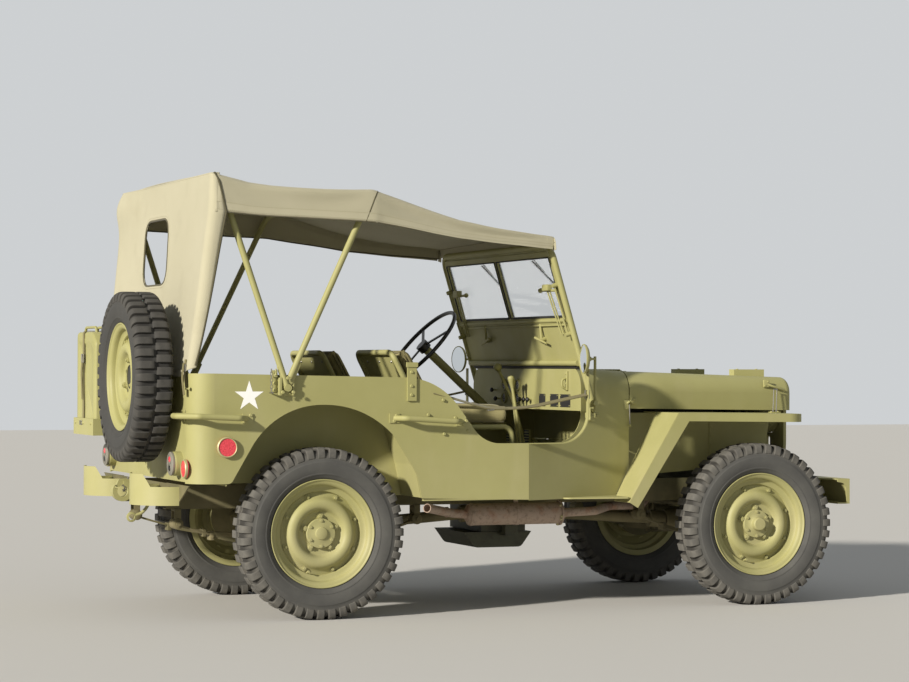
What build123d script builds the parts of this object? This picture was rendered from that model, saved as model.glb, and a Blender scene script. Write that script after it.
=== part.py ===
from build123d import *
import math
import os

# Army 4x4 car with its canvas top up, in millimetres.
# The drawing frame has x forward from the rear axle, y to the left and z up from the ground.
# Each finished piece is moved back by MID_X, so that the origin lies under the middle of the car.

# Driving dimensions
WHEELBASE = 2032.0
HALF_TRACK = 622.3
FRONT_END = 2530.0
REAR_END = -780.0
MID_X = (FRONT_END + REAR_END) / 2
FRONT_AXLE = WHEELBASE

# Wheels and tyres, 6.00-16; the lugs stand in two staggered rows on a plain carcass with flat flanks
TYRE_R = 356.0
TYRE_HALF = 80.0
TREAD_HALF = 74.0
TREAD_FLOOR_R = 334.0
LUG_FOOT_R = 341.0
LUGS_A_ROW = 32
LUG_HALF_ANGLE = 3.7
FLANKS = 20
BEAD_R = 205.0
LIP_R = 223.0
LIP_OUT = 62.0
DISC_OUT = 12.0
STUD_CIRCLE_R = 69.85
DRUM_R = 122.0
HUB_R = 62.0
SPINDLE_R = 26.0

# Axles and steering
AXLE_Z = TYRE_R
AXLE_TUBE_R = 36.0
DIFF_Y = -190.0
DIFF_R = 134.0
KING_PIN_Y = 500.0
BALL_R = 58.0
STEER_ARM = 190.0
TIE_ROD_Z = 431.0
COLUMN_ANGLE = 42.0
WHEEL_CENTRE = (830.0, 360.0, 1145.0)
STEERING_WHEEL_R = 215.0

# Chassis frame
RAIL_Y = (315.0, 365.0)
RAIL_Z = (450.0, 550.0)
RAIL_X = (-584.0, 2466.0)
RAIL_WALL = 5.0
SPRING_Y = 340.0
SPRING_W = 44.0
SPRING_Z = 298.0
SPRING_RISE = 91.0
DAMPER_Y = 398.0
BUMPER_HALF = 610.0
BUMPER_Z = (434.0, 547.0)

# Body tub
HALF_BODY = 725.0
SHEET = 5.0
REAR_PANEL_X = -575.0
CORNER_R = 95.0
TUB_TOP_REAR = 1018.0
TUB_TOP_FRONT = 1000.0
TUB_BOTTOM_REAR = 569.0
SEAM_X = 906.0
SILL_Z = 484.0
DOOR_SILL_Z = 724.0
COWL_REAR_X = 1192.0
COWL_FRONT_X = 1466.0
COWL_TAPER = 0.35
COWL_TOP = (1045.0, 1030.0)
COWL_CORNER_R = 90.0
FRONT_FLOOR_Z = 551.0
REAR_FLOOR_Z = 598.0
RISER_X = 330.0
TUNNEL_REAR_X = 960.0
TUNNEL_HALF = 150.0
TOE_X = 1330.0
WHEELHOUSE_Y = 476.0
WHEELHOUSE_TOP = 905.0

# Front end
HOOD_REAR_X = 1471.0
HOOD_FRONT_X = 2344.0
HOOD_HALF = (528.0, 408.0)
HOOD_TOP = (1030.0, 1003.0)
HOOD_BOTTOM = (866.0, 853.0)
FENDER_TOP = (850.0, 842.0)
FENDER_X = (1613.0, 2255.0)
FENDER_SKIRT = 36.0
APRON_Y = 372.0
GRILLE_X = 2308.0
LEG_FOOT = (1378.0, 464.0)

# Windscreen
SCREEN_FOOT = (1236.0, 907.0)
SCREEN_TILT = 16.6
SCREEN_HALF = 640.0
SCREEN_TUBE_R = 14.0
SCREEN_HEIGHT = 690.0
SCREEN_PANEL = (152.0, 352.0)

# Canvas top and its bows: station x, half width at the top, top z, half width at the hem, hem z
CANVAS_STATIONS = [
    (-490.0, 737.0, 1836.0, 765.0, 1672.0),
    (-340.0, 739.0, 1800.0, 765.0, 1664.0),
    (200.0, 740.0, 1786.0, 762.0, 1643.0),
    (590.0, 722.0, 1675.0, 736.0, 1594.0),
    (1040.0, 676.0, 1610.0, 684.0, 1560.0),
]
CANVAS_WALL = 4.0
CANVAS_CORNER_R = 45.0
CURTAIN_FOOT = (-581.0, 1004.0, 700.0)
BOW_R = 13.0
BOW_PIVOT = (-180.0, 742.0, 972.0)

# Stowage at the back
SPARE_CENTRE = (-700.0, -285.0, 1002.0)
CAN_X = (-765.0, -604.0)
CAN_Y = 310.0
CAN_HALF = 172.0
CAN_Z = (758.0, 1222.0)
BUMPERETTE_Y = 410.0
BUMPERETTE_R = 162.0
BUMPERETTE_Z = (476.0, 605.0)
HANDLE_Z = 845.0
HANDLE_R = 12.0
HANDLE_Y = 775.0


def box(x0, x1, y0, y1, z0, z1):
    """A block between two corners."""
    centre = ((x0 + x1) / 2, (y0 + y1) / 2, (z0 + z1) / 2)
    return Pos(*centre) * Box(abs(x1 - x0), abs(y1 - y0), abs(z1 - z0))


def side_plate(rows, y0, y1):
    """A piece cut to a side-view outline; rows hold x, z and corner radius."""
    path = FilletPolyline(*[(x, y0, z) for x, z, r in rows], radius=[r for x, z, r in rows], close=True)
    return extrude(make_face(path), amount=y1 - y0, dir=(0, 1, 0))


def front_plate(rows, x0, x1):
    """A piece cut to a front-view outline; rows hold y, z and corner radius."""
    path = FilletPolyline(*[(x0, y, z) for y, z, r in rows], radius=[r for y, z, r in rows], close=True)
    return extrude(make_face(path), amount=x1 - x0, dir=(1, 0, 0))


def top_plate(rows, z0, z1):
    """A piece cut to a plan-view outline; rows hold x, y and corner radius."""
    path = FilletPolyline(*[(x, y, z0) for x, y, r in rows], radius=[r for x, y, r in rows], close=True)
    return extrude(make_face(path), amount=z1 - z0, dir=(0, 0, 1))


def rod(start, end, radius):
    """A round bar between two points."""
    start, end = Vector(*start), Vector(*end)
    run = end - start
    place = Plane(origin=start, z_dir=run)
    return extrude(place * Circle(radius), amount=run.length)


def tube(points, bend, radius):
    """A bent round bar: straight runs joined by arcs of one bend radius."""
    path = FilletPolyline(*points, radius=bend)
    place = Plane(origin=points[0], z_dir=Vector(*points[1]) - Vector(*points[0]))
    return sweep(place * Circle(radius), path=path)


def ring_y(rows, centre):
    """A turned piece about a line along y; rows hold radius and y from the centre."""
    face = make_face(Polyline(*[(r, y, 0) for r, y in rows], close=True))
    return Pos(*centre) * revolve(face, axis=Axis.Y)


def turned_x(rows, centre):
    """A turned piece about a line along x; rows hold x from the centre and radius."""
    face = make_face(Polyline(*[(x, r, 0) for x, r in rows], close=True))
    return Pos(*centre) * revolve(face, axis=Axis.X)


def both_sides(piece):
    """A piece and its mirror image on the other side of the car."""
    return piece + mirror(piece, about=Plane.XZ)


def other_side(piece):
    return mirror(piece, about=Plane.XZ)


def body_half(x):
    """Half width of the tub, which narrows forward of the seam."""
    return HALF_BODY - COWL_TAPER * max(0.0, x - SEAM_X)


# Running gear

def round_y(radius, y, degrees):
    """A point at a radius about the y axis, its angle taken from straight down."""
    a = math.radians(degrees)
    return (radius * math.sin(a), y, -radius * math.cos(a))


def carcass():
    """The plain part of a tyre: its section swept round a regular polygon with mitred corners."""
    flat = math.cos(math.pi / FLANKS)
    rows = [(BEAD_R + 1.8, -52.5), (LIP_R + 2.6, -56.5), (285, -TYRE_HALF), (TREAD_FLOOR_R, -TREAD_HALF)]
    rows += [(r, -y) for r, y in reversed(rows)]
    section = make_face(Polyline(*[(0, y, -r * flat) for r, y in rows], close=True))
    corners = [round_y(300, 0, 360 / FLANKS * (k + 0.5)) for k in range(FLANKS)]
    start = round_y(300 * flat, 0, 0)
    return sweep(section, path=Polyline(start, *corners, start), transition=Transition.RIGHT)


def lug_row(y0, y1, turn):
    """A row of lugs: a toothed ring whose gaps narrow down to the tread's floor."""
    pitch = 360 / LUGS_A_ROW
    tip = TYRE_R / math.cos(math.radians(pitch / 2 - LUG_HALF_ANGLE))
    outline = []
    for k in range(LUGS_A_ROW):
        a = turn + pitch * k
        outline += [round_y(tip, y0, a - LUG_HALF_ANGLE), round_y(tip, y0, a + LUG_HALF_ANGLE)]
        outline += [round_y(LUG_FOOT_R, y0, a + pitch / 2)]
    inside = [round_y(320, y0, 360 / FLANKS * (k + 0.5)) for k in range(FLANKS)]
    ring = make_face(Polyline(*outline, close=True)) - make_face(Polyline(*inside, close=True))
    return extrude(ring, amount=y1 - y0, dir=(0, 1, 0))


def tyre_solid():
    """A tyre about the y axis, with a groove round its middle between the staggered rows."""
    return carcass() + lug_row(4, TREAD_HALF, 0) + lug_row(-TREAD_HALF, -4, 180 / LUGS_A_ROW)


def disc_wheel(studs):
    """A steel disc wheel about the y axis, its outboard side at plus y."""
    rim = [
        (LIP_R, -62), (LIP_R, -57), (BEAD_R - 1, -53), (BEAD_R - 5, -30), (178, -20), (178, 22),
        (BEAD_R - 5, 30), (BEAD_R - 1, 53), (LIP_R, 57), (LIP_R, 62),
        (BEAD_R - 6, 60), (BEAD_R - 12, 34), (172, 27), (172, -25), (BEAD_R - 12, -34), (BEAD_R - 6, -60),
    ]
    disc = [
        (173, -2), (152, 16), (138, 34), (118, 38), (100, 26), (92, DISC_OUT), (30, DISC_OUT),
        (30, DISC_OUT + 5), (90, DISC_OUT + 5), (98, 32), (117, 44), (141, 40), (157, 20), (173, 6),
    ]
    piece = ring_y(rim, (0, 0, 0)) + ring_y(disc, (0, 0, 0))
    for k in range(studs):
        a = math.radians(90 + 360 / studs * k)
        x, z = STUD_CIRCLE_R * math.cos(a), STUD_CIRCLE_R * math.sin(a)
        piece += rod((x, DISC_OUT, z), (x, DISC_OUT + 20, z), 10)
    return piece


def wheel_solid(out, hub_reach):
    """A disc wheel with its hub and brake drum; out is the sign of the outboard side."""
    drum = [(30, -55), (DRUM_R, -55), (DRUM_R, -48), (DRUM_R - 6, -48), (DRUM_R - 6, DISC_OUT), (30, DISC_OUT)]
    hub = [(SPINDLE_R + 0.3, -55), (52, -55), (52, DISC_OUT), (HUB_R, DISC_OUT + 8), (HUB_R, 34), (44, 36)]
    hub += [(30, hub_reach - 8), (24, hub_reach), (0, hub_reach), (0, 16), (SPINDLE_R + 0.3, 16)]
    piece = disc_wheel(5) + ring_y(drum, (0, 0, 0)) + ring_y(hub, (0, 0, 0))
    return piece if out > 0 else mirror(piece, about=Plane.XZ)


def spare_place(piece):
    """Turn a wheel made about y so that its outboard side faces backwards."""
    return Pos(*SPARE_CENTRE) * Rot(0, 0, 90) * piece


def spring_pack(x, half_span):
    """Three stacked leaves bent to one centre, with eyes and shackle plates, under the rail."""
    radius = (half_span ** 2 + SPRING_RISE ** 2) / (2 * SPRING_RISE)
    centre_z = SPRING_Z + radius
    leaves = None
    for reach, drop in [(half_span, 0), (0.72 * half_span, 8), (0.42 * half_span, 16)]:
        band = Cylinder(radius + drop + 8, SPRING_W) - Cylinder(radius + drop, SPRING_W)
        band = Pos(x, SPRING_Y, centre_z) * Rot(90, 0, 0) * band
        band = band & box(x - reach, x + reach, 0, 2 * SPRING_Y, SPRING_Z - 40, SPRING_Z + SPRING_RISE + 12)
        leaves = band if leaves is None else leaves + band
    eye_z = SPRING_Z + SPRING_RISE
    for end in (-1, 1):
        eye_x = x + end * half_span
        leaves += rod((eye_x, SPRING_Y - 24, eye_z), (eye_x, SPRING_Y + 24, eye_z), 19)
        hanger = box(eye_x - 14, eye_x + 14, SPRING_Y - 29, SPRING_Y + 29, eye_z - 14, RAIL_Z[0])
        leaves += hanger - box(eye_x - 15, eye_x + 15, SPRING_Y - 24, SPRING_Y + 24, eye_z - 15, RAIL_Z[0] - 8)
    return leaves


def chassis_frame():
    rail = box(*RAIL_X, *RAIL_Y, *RAIL_Z)
    rail -= box(RAIL_X[0], RAIL_X[1], RAIL_Y[0], RAIL_Y[1] - RAIL_WALL, RAIL_Z[0] + RAIL_WALL, RAIL_Z[1] - RAIL_WALL)
    frame = both_sides(rail)
    for x0, x1 in [(600, 660), (1570, 1620), (2400, 2440)]:
        beam = box(x0, x1, -RAIL_Y[1] + 5, RAIL_Y[1] - 5, RAIL_Z[0] + 12, RAIL_Z[1] - 12)
        frame += beam - box(x0 + 5, x1 + 5, -RAIL_Y[1], RAIL_Y[1], RAIL_Z[0] + 17, RAIL_Z[1] - 17)
    frame += box(RAIL_X[0], RAIL_X[0] + 6, -RAIL_Y[1] - 6, RAIL_Y[1] + 6, 470, 560)
    brace = [(RAIL_Y[1] + 6, 470, 0), (RAIL_Y[1] + 6, 562, 0), (717, 562, 0), (560, 486, 20)]
    frame += both_sides(front_plate(brace, RAIL_X[0], RAIL_X[0] + 6))
    return frame


def front_bumper():
    z0, z1 = BUMPER_Z
    channel = box(FRONT_END - 62, FRONT_END, -BUMPER_HALF, BUMPER_HALF, z0, z1)
    channel -= box(FRONT_END - 62, FRONT_END - 6, -BUMPER_HALF, BUMPER_HALF, z0 + 6, z1 - 6)
    web = [(FRONT_END - 62, z1 - 3, 0), (FRONT_END - 3, z1 - 3, 0), (FRONT_END - 3, z0 + 3, 0), (FRONT_END - 14, z0 + 3, 0),
           (FRONT_END - 20, z1 - 22, 28), (FRONT_END - 62, z1 - 14, 0)]
    channel += both_sides(side_plate(web, BUMPER_HALF - 6, BUMPER_HALF))
    gusset = [(2350, RAIL_Y[1] + 1, 0), (FRONT_END - 58, RAIL_Y[1] + 1, 0), (FRONT_END - 58, 560, 0)]
    channel += both_sides(top_plate(gusset, z1 - 6, z1))
    channel += both_sides(box(RAIL_X[1], FRONT_END - 4, RAIL_Y[0], RAIL_Y[1], RAIL_Z[0] + 5, z1 - 8))
    return channel


def rear_bumperette():
    z0, z1 = BUMPERETTE_Z
    x = RAIL_X[0]
    band = Cylinder(BUMPERETTE_R, z1 - z0) - Cylinder(BUMPERETTE_R - 5, z1 - z0)
    band = Pos(x, BUMPERETTE_Y, (z0 + z1) / 2) * band
    band &= box(x - 200, x, 0, 2 * BUMPERETTE_Y, z0, z1)
    notch = [(x - 136, z1 + 1, 0), (x - 110, z1 - 52, 0), (x + 10, z1 - 52, 0), (x + 10, z1 + 1, 0)]
    return band - side_plate(notch, 0, 2 * BUMPERETTE_Y)


def pintle_hook():
    x = RAIL_X[0]
    hook = box(x - 10, x, -55, 55, 478, 558) + rod((x - 10, 0, 520), (x - 62, 0, 520), 22)
    jaw = Pos(x - 96, 0, 512) * Rot(90, 0, 0) * (Cylinder(44, 34) - Cylinder(24, 34))
    jaw -= box(x - 130, x - 92, -30, 30, 524, 600)
    latch = side_plate([(x - 66, 548, 0), (x - 66, 562, 0), (x - 112, 562, 8), (x - 126, 530, 6), (x - 112, 530, 0)], -11, 11)
    return hook + jaw + latch


def axle_casing(x, pinion):
    """An axle casing; pinion is +1 where the nose points forward, -1 where it points back."""
    reach = KING_PIN_Y if pinion < 0 else 548
    casing = rod((x, -reach, AXLE_Z), (x, reach, AXLE_Z), AXLE_TUBE_R)
    bowl = Pos(x, DIFF_Y, AXLE_Z) * Sphere(DIFF_R)
    casing += bowl & box(x - 200, x + 200, DIFF_Y - 92, DIFF_Y + 92, 0, 600)
    nose = Plane(origin=(x, DIFF_Y, AXLE_Z), z_dir=(pinion, 0, 0))
    casing += nose * Pos(0, 0, 165) * Cone(62, 44, 130)
    cover = Plane(origin=(x, DIFF_Y, AXLE_Z), z_dir=(-pinion, 0, 0))
    casing += cover * Pos(0, 0, 88) * Cylinder(104, 12)
    for side in (-1, 1):
        casing += box(x - 32, x + 32, side * SPRING_Y - 26, side * SPRING_Y + 26, SPRING_Z + 9, AXLE_Z)
        if pinion > 0:
            casing += rod((x, side * 548, AXLE_Z), (x, side * 554, AXLE_Z), DRUM_R + 3)
            casing += rod((x, side * 550, AXLE_Z), (x, side * 630, AXLE_Z), SPINDLE_R)
        else:
            casing += Pos(x, side * KING_PIN_Y, AXLE_Z) * Sphere(BALL_R)
    return casing


def knuckle():
    """The left steering knuckle: a cup round the axle's ball, with its arm and brake plate."""
    centre = (FRONT_AXLE, KING_PIN_Y, AXLE_Z)
    cup = Pos(*centre) * (Sphere(BALL_R + 11) - Sphere(BALL_R + 0.3))
    cup &= box(FRONT_AXLE - 90, FRONT_AXLE + 90, KING_PIN_Y - 18, KING_PIN_Y + 48, AXLE_Z - 90, AXLE_Z + 90)
    plate = rod((FRONT_AXLE, 548, AXLE_Z), (FRONT_AXLE, 554, AXLE_Z), DRUM_R + 3)
    plate -= rod((FRONT_AXLE, 540, AXLE_Z), (FRONT_AXLE, 560, AXLE_Z), 34)
    cup += plate
    ring = rod((FRONT_AXLE, 552, AXLE_Z), (FRONT_AXLE, 566.8, AXLE_Z), 44)
    cup += ring - rod((FRONT_AXLE, 545, AXLE_Z), (FRONT_AXLE, 561, AXLE_Z), 34)
    cup += rod((FRONT_AXLE, 565, AXLE_Z), (FRONT_AXLE, 630, AXLE_Z), SPINDLE_R)
    for up in (-1, 1):
        z0, z1 = AXLE_Z + up * (BALL_R + 6), AXLE_Z + up * (BALL_R + 24)
        cup += rod((FRONT_AXLE, KING_PIN_Y, z0), (FRONT_AXLE, KING_PIN_Y, z1), 30)
    arm_z = TIE_ROD_Z + 12
    x_pin = FRONT_AXLE - STEER_ARM
    arm = [(FRONT_AXLE + 26, KING_PIN_Y + 24, 12), (FRONT_AXLE + 26, KING_PIN_Y - 24, 12),
           (x_pin - 16, KING_PIN_Y - 14, 12), (x_pin - 16, KING_PIN_Y + 14, 12)]
    cup += top_plate(arm, arm_z, arm_z + 14)
    cup += rod((FRONT_AXLE, KING_PIN_Y, AXLE_Z + BALL_R + 20), (FRONT_AXLE, KING_PIN_Y, arm_z + 8), 26)
    cup += rod((x_pin, KING_PIN_Y, TIE_ROD_Z - 14), (x_pin, KING_PIN_Y, arm_z + 4), 8)
    return cup


def tie_rod():
    x = FRONT_AXLE - STEER_ARM
    eye = rod((x, KING_PIN_Y, TIE_ROD_Z - 10), (x, KING_PIN_Y, TIE_ROD_Z + 10), 20)
    piece = rod((x, -KING_PIN_Y + 16, TIE_ROD_Z), (x, KING_PIN_Y - 16, TIE_ROD_Z), 11) + both_sides(eye)
    return piece - both_sides(rod((x, KING_PIN_Y, TIE_ROD_Z - 20), (x, KING_PIN_Y, TIE_ROD_Z + 20), 8.3))


def dampers():
    """The left telescopic dampers, each on a clamp plate under the spring and a stud on the rail."""
    y = DAMPER_Y
    pair = None
    for x in (0.0, FRONT_AXLE):
        low, high = Vector(x + 64, y, 292), Vector(x + 134, y, 516)
        run = high - low
        damper = box(x - 46, x + 84, SPRING_Y - 27, y - 15, 262, 272)
        damper += box(low.X - 18, low.X + 18, y - 22, y - 15, 262, 308)
        damper += rod(tuple(low), tuple(low + run * 0.55), 20)
        damper += rod(tuple(low + run * 0.45), tuple(high), 25)
        for eye in (low, high):
            damper += rod((eye.X, y - 16, eye.Z), (eye.X, y + 16, eye.Z), 18)
        damper += rod((high.X, RAIL_Y[1], high.Z), (high.X, y + 20, high.Z), 9)
        pair = damper if pair is None else pair + damper
    return pair


def prop_shafts():
    shafts = None
    for x0, z0, x1, z1 in [(872, 402, 236, AXLE_Z), (1096, 402, FRONT_AXLE - 236, AXLE_Z)]:
        shaft = rod((x0, DIFF_Y, z0), (x1, DIFF_Y, z1), 24)
        run = Vector(x1 - x0, 0, z1 - z0).normalized() * 70
        shaft += rod((x0, DIFF_Y, z0), (x0 + run.X, DIFF_Y, z0 + run.Z), 38)
        shaft += rod((x1 - run.X, DIFF_Y, z1 - run.Z), (x1, DIFF_Y, z1), 38)
        shafts = shaft if shafts is None else shafts + shaft
    return shafts


def gearbox():
    box_case = side_plate([(1100, 420, 20), (1555, 470, 0), (1555, 640, 0), (1440, 640, 30), (1300, 590, 30), (1100, 560, 20)], -105, 105)
    transfer = box(880, 1090, DIFF_Y - 60, 105, 320, 500)
    skid = side_plate([(800, 318, 0), (850, 250, 30), (1070, 250, 30), (1120, 318, 0)], -250, 120)
    beam = box(960, 1020, -RAIL_Y[0] - 20, -RAIL_Y[0] + 20, 318, RAIL_Z[0]) + box(960, 1020, RAIL_Y[0] - 20, RAIL_Y[0] + 20, 318, RAIL_Z[0])
    beam += box(960, 1020, -RAIL_Y[0] - 20, RAIL_Y[0] + 20, 306, 320)
    return box_case + transfer + skid + beam


def exhaust():
    can = rod((1150, -500, 412), (720, -500, 412), 47)
    front = tube([(1148, -500, 412), (1330, -470, 416), (1500, -255, 424), (1690, -232, 424), (1690, -232, 560)], 40, 19)
    tail = tube([(722, -500, 412), (640, -520, 420), (470, -655, 452)], 60, 19)
    tail -= rod((520, -615, 443), (460, -663, 454), 16)
    return can + front + tail


# Tub

def tub_side():
    """The right side skin behind the seam, with the rounded rear corner."""
    rows = [
        (REAR_PANEL_X + CORNER_R, TUB_TOP_REAR, 0), (496, TUB_TOP_FRONT, 300), (700, DOOR_SILL_Z, 150),
        (SEAM_X, DOOR_SILL_Z, 0), (SEAM_X, SILL_Z, 0), (421, 497, 0), (398, 600, 200), (291, 765, 0),
        (168, 890, 415), (-221, 890, 350), (-408, TUB_BOTTOM_REAR, 25), (REAR_PANEL_X + CORNER_R, TUB_BOTTOM_REAR, 0),
    ]
    skin = side_plate(rows, -HALF_BODY, -HALF_BODY + SHEET)
    corner = Cylinder(CORNER_R, TUB_TOP_REAR - TUB_BOTTOM_REAR) - Cylinder(CORNER_R - SHEET, TUB_TOP_REAR - TUB_BOTTOM_REAR)
    x, y = REAR_PANEL_X + CORNER_R, -HALF_BODY + CORNER_R
    corner = Pos(x, y, (TUB_TOP_REAR + TUB_BOTTOM_REAR) / 2) * corner
    skin += corner & box(x - CORNER_R - 1, x, y - CORNER_R - 1, y, 0, 2000)
    lip = [(x, TUB_TOP_REAR - 6, 0), (x, TUB_TOP_REAR, 0), (330, 1003, 0), (330, 997, 0)]
    skin += side_plate(lip, -HALF_BODY + 1, -HALF_BODY + 22)
    skin += box(430, SEAM_X, -HALF_BODY + 1, -HALF_BODY + 24, SILL_Z + 2, SILL_Z + 8)
    return skin


def side_fittings():
    """Grab handles and the bracket plates of the right side, outboard of the skin."""
    y = -HANDLE_Y
    skin_y = -HALF_BODY
    fit = tube([(300, skin_y, HANDLE_Z - 12), (330, y, HANDLE_Z - 12), (560, y, HANDLE_Z - 26), (590, skin_y, HANDLE_Z - 26)], 22, HANDLE_R)
    fit += tube([(-345, skin_y, HANDLE_Z - 10), (-385, y, HANDLE_Z - 8), (-560, y, HANDLE_Z), (-624, -690, HANDLE_Z),
                 (-624, -610, HANDLE_Z), (REAR_PANEL_X, -610, HANDLE_Z)], 20, HANDLE_R)
    for x, z in [(296, HANDLE_Z - 12), (594, HANDLE_Z - 26), (-340, HANDLE_Z - 10)]:
        fit += box(x - 22, x + 22, skin_y - 5, skin_y, z - 20, z + 20)
    fit += box(352, 392, skin_y - 9, skin_y, 905, 1062)
    fit += box(348, 396, skin_y - 14, skin_y, 1046, 1066)
    return fit


def rear_panel():
    half = HALF_BODY - CORNER_R
    panel = box(REAR_PANEL_X, REAR_PANEL_X + SHEET, -half, half, TUB_BOTTOM_REAR + 6, TUB_TOP_REAR)
    panel += box(REAR_PANEL_X, REAR_PANEL_X + 22, -half, half, TUB_TOP_REAR - 6, TUB_TOP_REAR)
    x, y, z = SPARE_CENTRE
    face = x - DISC_OUT
    # The spare wheel's carrier: a plate on a post, with three stays spread below the tub's top edge.
    panel += rod((face + 8, y, z), (face, y, z), 88)
    panel += rod((REAR_PANEL_X + 2, y, 950), (face + 6, y, z - 24), 26)
    for dy, dz in [(-120, -80), (120, -80), (0, -170)]:
        panel += rod((REAR_PANEL_X + 2, y + dy, z + dz), (face + 6, y + dy * 0.4, z + dz * 0.4), 11)
        panel += box(REAR_PANEL_X - 5, REAR_PANEL_X, y + dy - 26, y + dy + 26, z + dz - 26, z + dz + 26)
    return panel


def can_rack():
    x0, x1 = CAN_X
    y0, y1 = CAN_Y - CAN_HALF, CAN_Y + CAN_HALF
    z0 = CAN_Z[0]
    tray = box(x0 - 12, REAR_PANEL_X, y0 - 12, y1 + 12, z0 - 12, z0 + 60)
    tray -= box(x0 - 5, x1 + 5, y0 - 5, y1 + 5, z0 - 4, z0 + 80)
    tray += box(x1 + 6, REAR_PANEL_X, y0 + 40, y1 - 40, z0, 1000)
    return tray


def fuel_can():
    """A 20 litre can with a pressed cross on its sides, three handles and its filler."""
    x0, x1 = CAN_X
    y0, y1 = CAN_Y - CAN_HALF, CAN_Y + CAN_HALF
    z0, z1 = CAN_Z
    rows = [(y0, z0, 30), (y0, z1 - 70, 20), (y0 + 70, z1 - 26, 30), (y1, z1 - 26, 20), (y1, z0, 30)]
    can = front_plate(rows, x0, x1)
    # The cross is pressed into the back face between the corners of a plain border.
    low, high, left, right, w = z0 + 60, z1 - 120, y0 + 50, y1 - 50, 17
    for a, b in [(left, right), (right, left)]:
        s = 1 if b > a else -1
        bar = [(a, low + w, 0), (a, low, 6), (a + s * w, low, 0), (b, high - w, 0), (b, high, 6), (b - s * w, high, 0)]
        can -= front_plate(bar, x0 - 1, x0 + 5)
    for x in (x0 + 28, (x0 + x1) / 2, x1 - 28):
        bar = side_to_side_handle(x, y0 + 90, y1 - 40, z1 - 30, z1 - 4)
        can += bar
    can += rod(((x0 + x1) / 2, y0 + 30, z1 - 60), ((x0 + x1) / 2, y0 + 10, z1 - 18), 26)
    return can


def side_to_side_handle(x, y0, y1, z0, z1):
    return tube([(x, y0, z0), (x, y0 + 12, z1 - 2), (x, y1 - 12, z1 - 2), (x, y1, z0)], 10, 6)


def wheelhouse():
    """The left box over the rear wheel, open below and towards the skin."""
    y0, y1 = WHEELHOUSE_Y, HALF_BODY - SHEET - 1
    t = SHEET
    outer = [(-430, 560, 0), (-430, WHEELHOUSE_TOP, 0), (300, WHEELHOUSE_TOP, 20), (392, 640, 60), (424, 500, 0), (200, 500, 0), (200, 560, 0)]
    inner = [(-425, 400, 0), (-425, WHEELHOUSE_TOP - t, 0), (296, WHEELHOUSE_TOP - t, 20), (387, 639, 60), (418, 500, 0), (418, 400, 0)]
    return side_plate(outer, y0, y1) - side_plate(inner, y0 + t, y1 + 1)


def tub_floor():
    t = SHEET
    half = HALF_BODY - SHEET - 1
    rear = box(REAR_PANEL_X + SHEET + 1, RISER_X, -WHEELHOUSE_Y, WHEELHOUSE_Y, REAR_FLOOR_Z, REAR_FLOOR_Z + t)
    strip = [(REAR_PANEL_X + 6, WHEELHOUSE_Y, 0), (REAR_PANEL_X + 6, half, 88), (-430, half, 0), (-430, WHEELHOUSE_Y, 0)]
    rear += both_sides(top_plate(strip, REAR_FLOOR_Z, REAR_FLOOR_Z + t))
    riser = box(RISER_X - t, RISER_X, -WHEELHOUSE_Y, WHEELHOUSE_Y, FRONT_FLOOR_Z, REAR_FLOOR_Z + t)
    x0, x1 = 412.5, TOE_X
    w1 = body_half(x1) - SHEET - 2
    plan = [(RISER_X - t, -WHEELHOUSE_Y), (x0, -WHEELHOUSE_Y), (x0, -half), (SEAM_X, -half), (x1, -w1),
            (x1, w1), (SEAM_X, half), (x0, half), (x0, WHEELHOUSE_Y), (RISER_X - t, WHEELHOUSE_Y)]
    front = top_plate([(x, y, 0) for x, y in plan], FRONT_FLOOR_Z, FRONT_FLOOR_Z + t)
    front -= box(TUNNEL_REAR_X, x1 + 1, -TUNNEL_HALF, TUNNEL_HALF, FRONT_FLOOR_Z - 1, FRONT_FLOOR_Z + t + 1)
    return rear + riser + front


def wheelhouses():
    return both_sides(wheelhouse())


def tunnel():
    """The pressed cover over the gearbox, open below and in front."""
    z, end = FRONT_FLOOR_Z, COWL_FRONT_X - 7
    outer = [(TUNNEL_REAR_X, z, 0), (1000, 640, 30), (TOE_X, 690, 0), (end, 702, 0), (end, z, 0)]
    inner = [(TUNNEL_REAR_X + 6, z - 5, 0), (1006, 634, 26), (TOE_X, 684, 0), (end + 9, 697, 0), (end + 9, z - 5, 0)]
    cover = side_plate(outer, -TUNNEL_HALF, TUNNEL_HALF)
    return cover - side_plate(inner, -TUNNEL_HALF + 6, TUNNEL_HALF - 6)


def toe_board():
    """The sloping boards in front of the feet, one each side of the tunnel."""
    rows = [(TOE_X + 0.3, FRONT_FLOOR_Z, 0), (COWL_FRONT_X - 6, 700, 0), (COWL_FRONT_X - 6, 707, 0), (TOE_X + 0.3, FRONT_FLOOR_Z + SHEET + 1, 0)]
    w = body_half(COWL_FRONT_X) - SHEET - 4
    boards = both_sides(side_plate(rows, TUNNEL_HALF + 0.3, w))
    dx, dz = math.cos(math.radians(COLUMN_ANGLE)), math.sin(math.radians(COLUMN_ANGLE))
    x, y, z = WHEEL_CENTRE
    return boards - rod((x + 500 * dx, y, z - 500 * dz), (x + 860 * dx, y, z - 860 * dz), 34)


def arch_section(x, half, bottom, top, corner):
    """A front-view section with two round top corners, as a face at x."""
    rows = [(-half, bottom, 0), (-half, top, corner), (half, top, corner), (half, bottom, 0)]
    path = FilletPolyline(*[(x, y, z) for y, z, r in rows], radius=[r for y, z, r in rows], close=True)
    return make_face(path)


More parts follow.
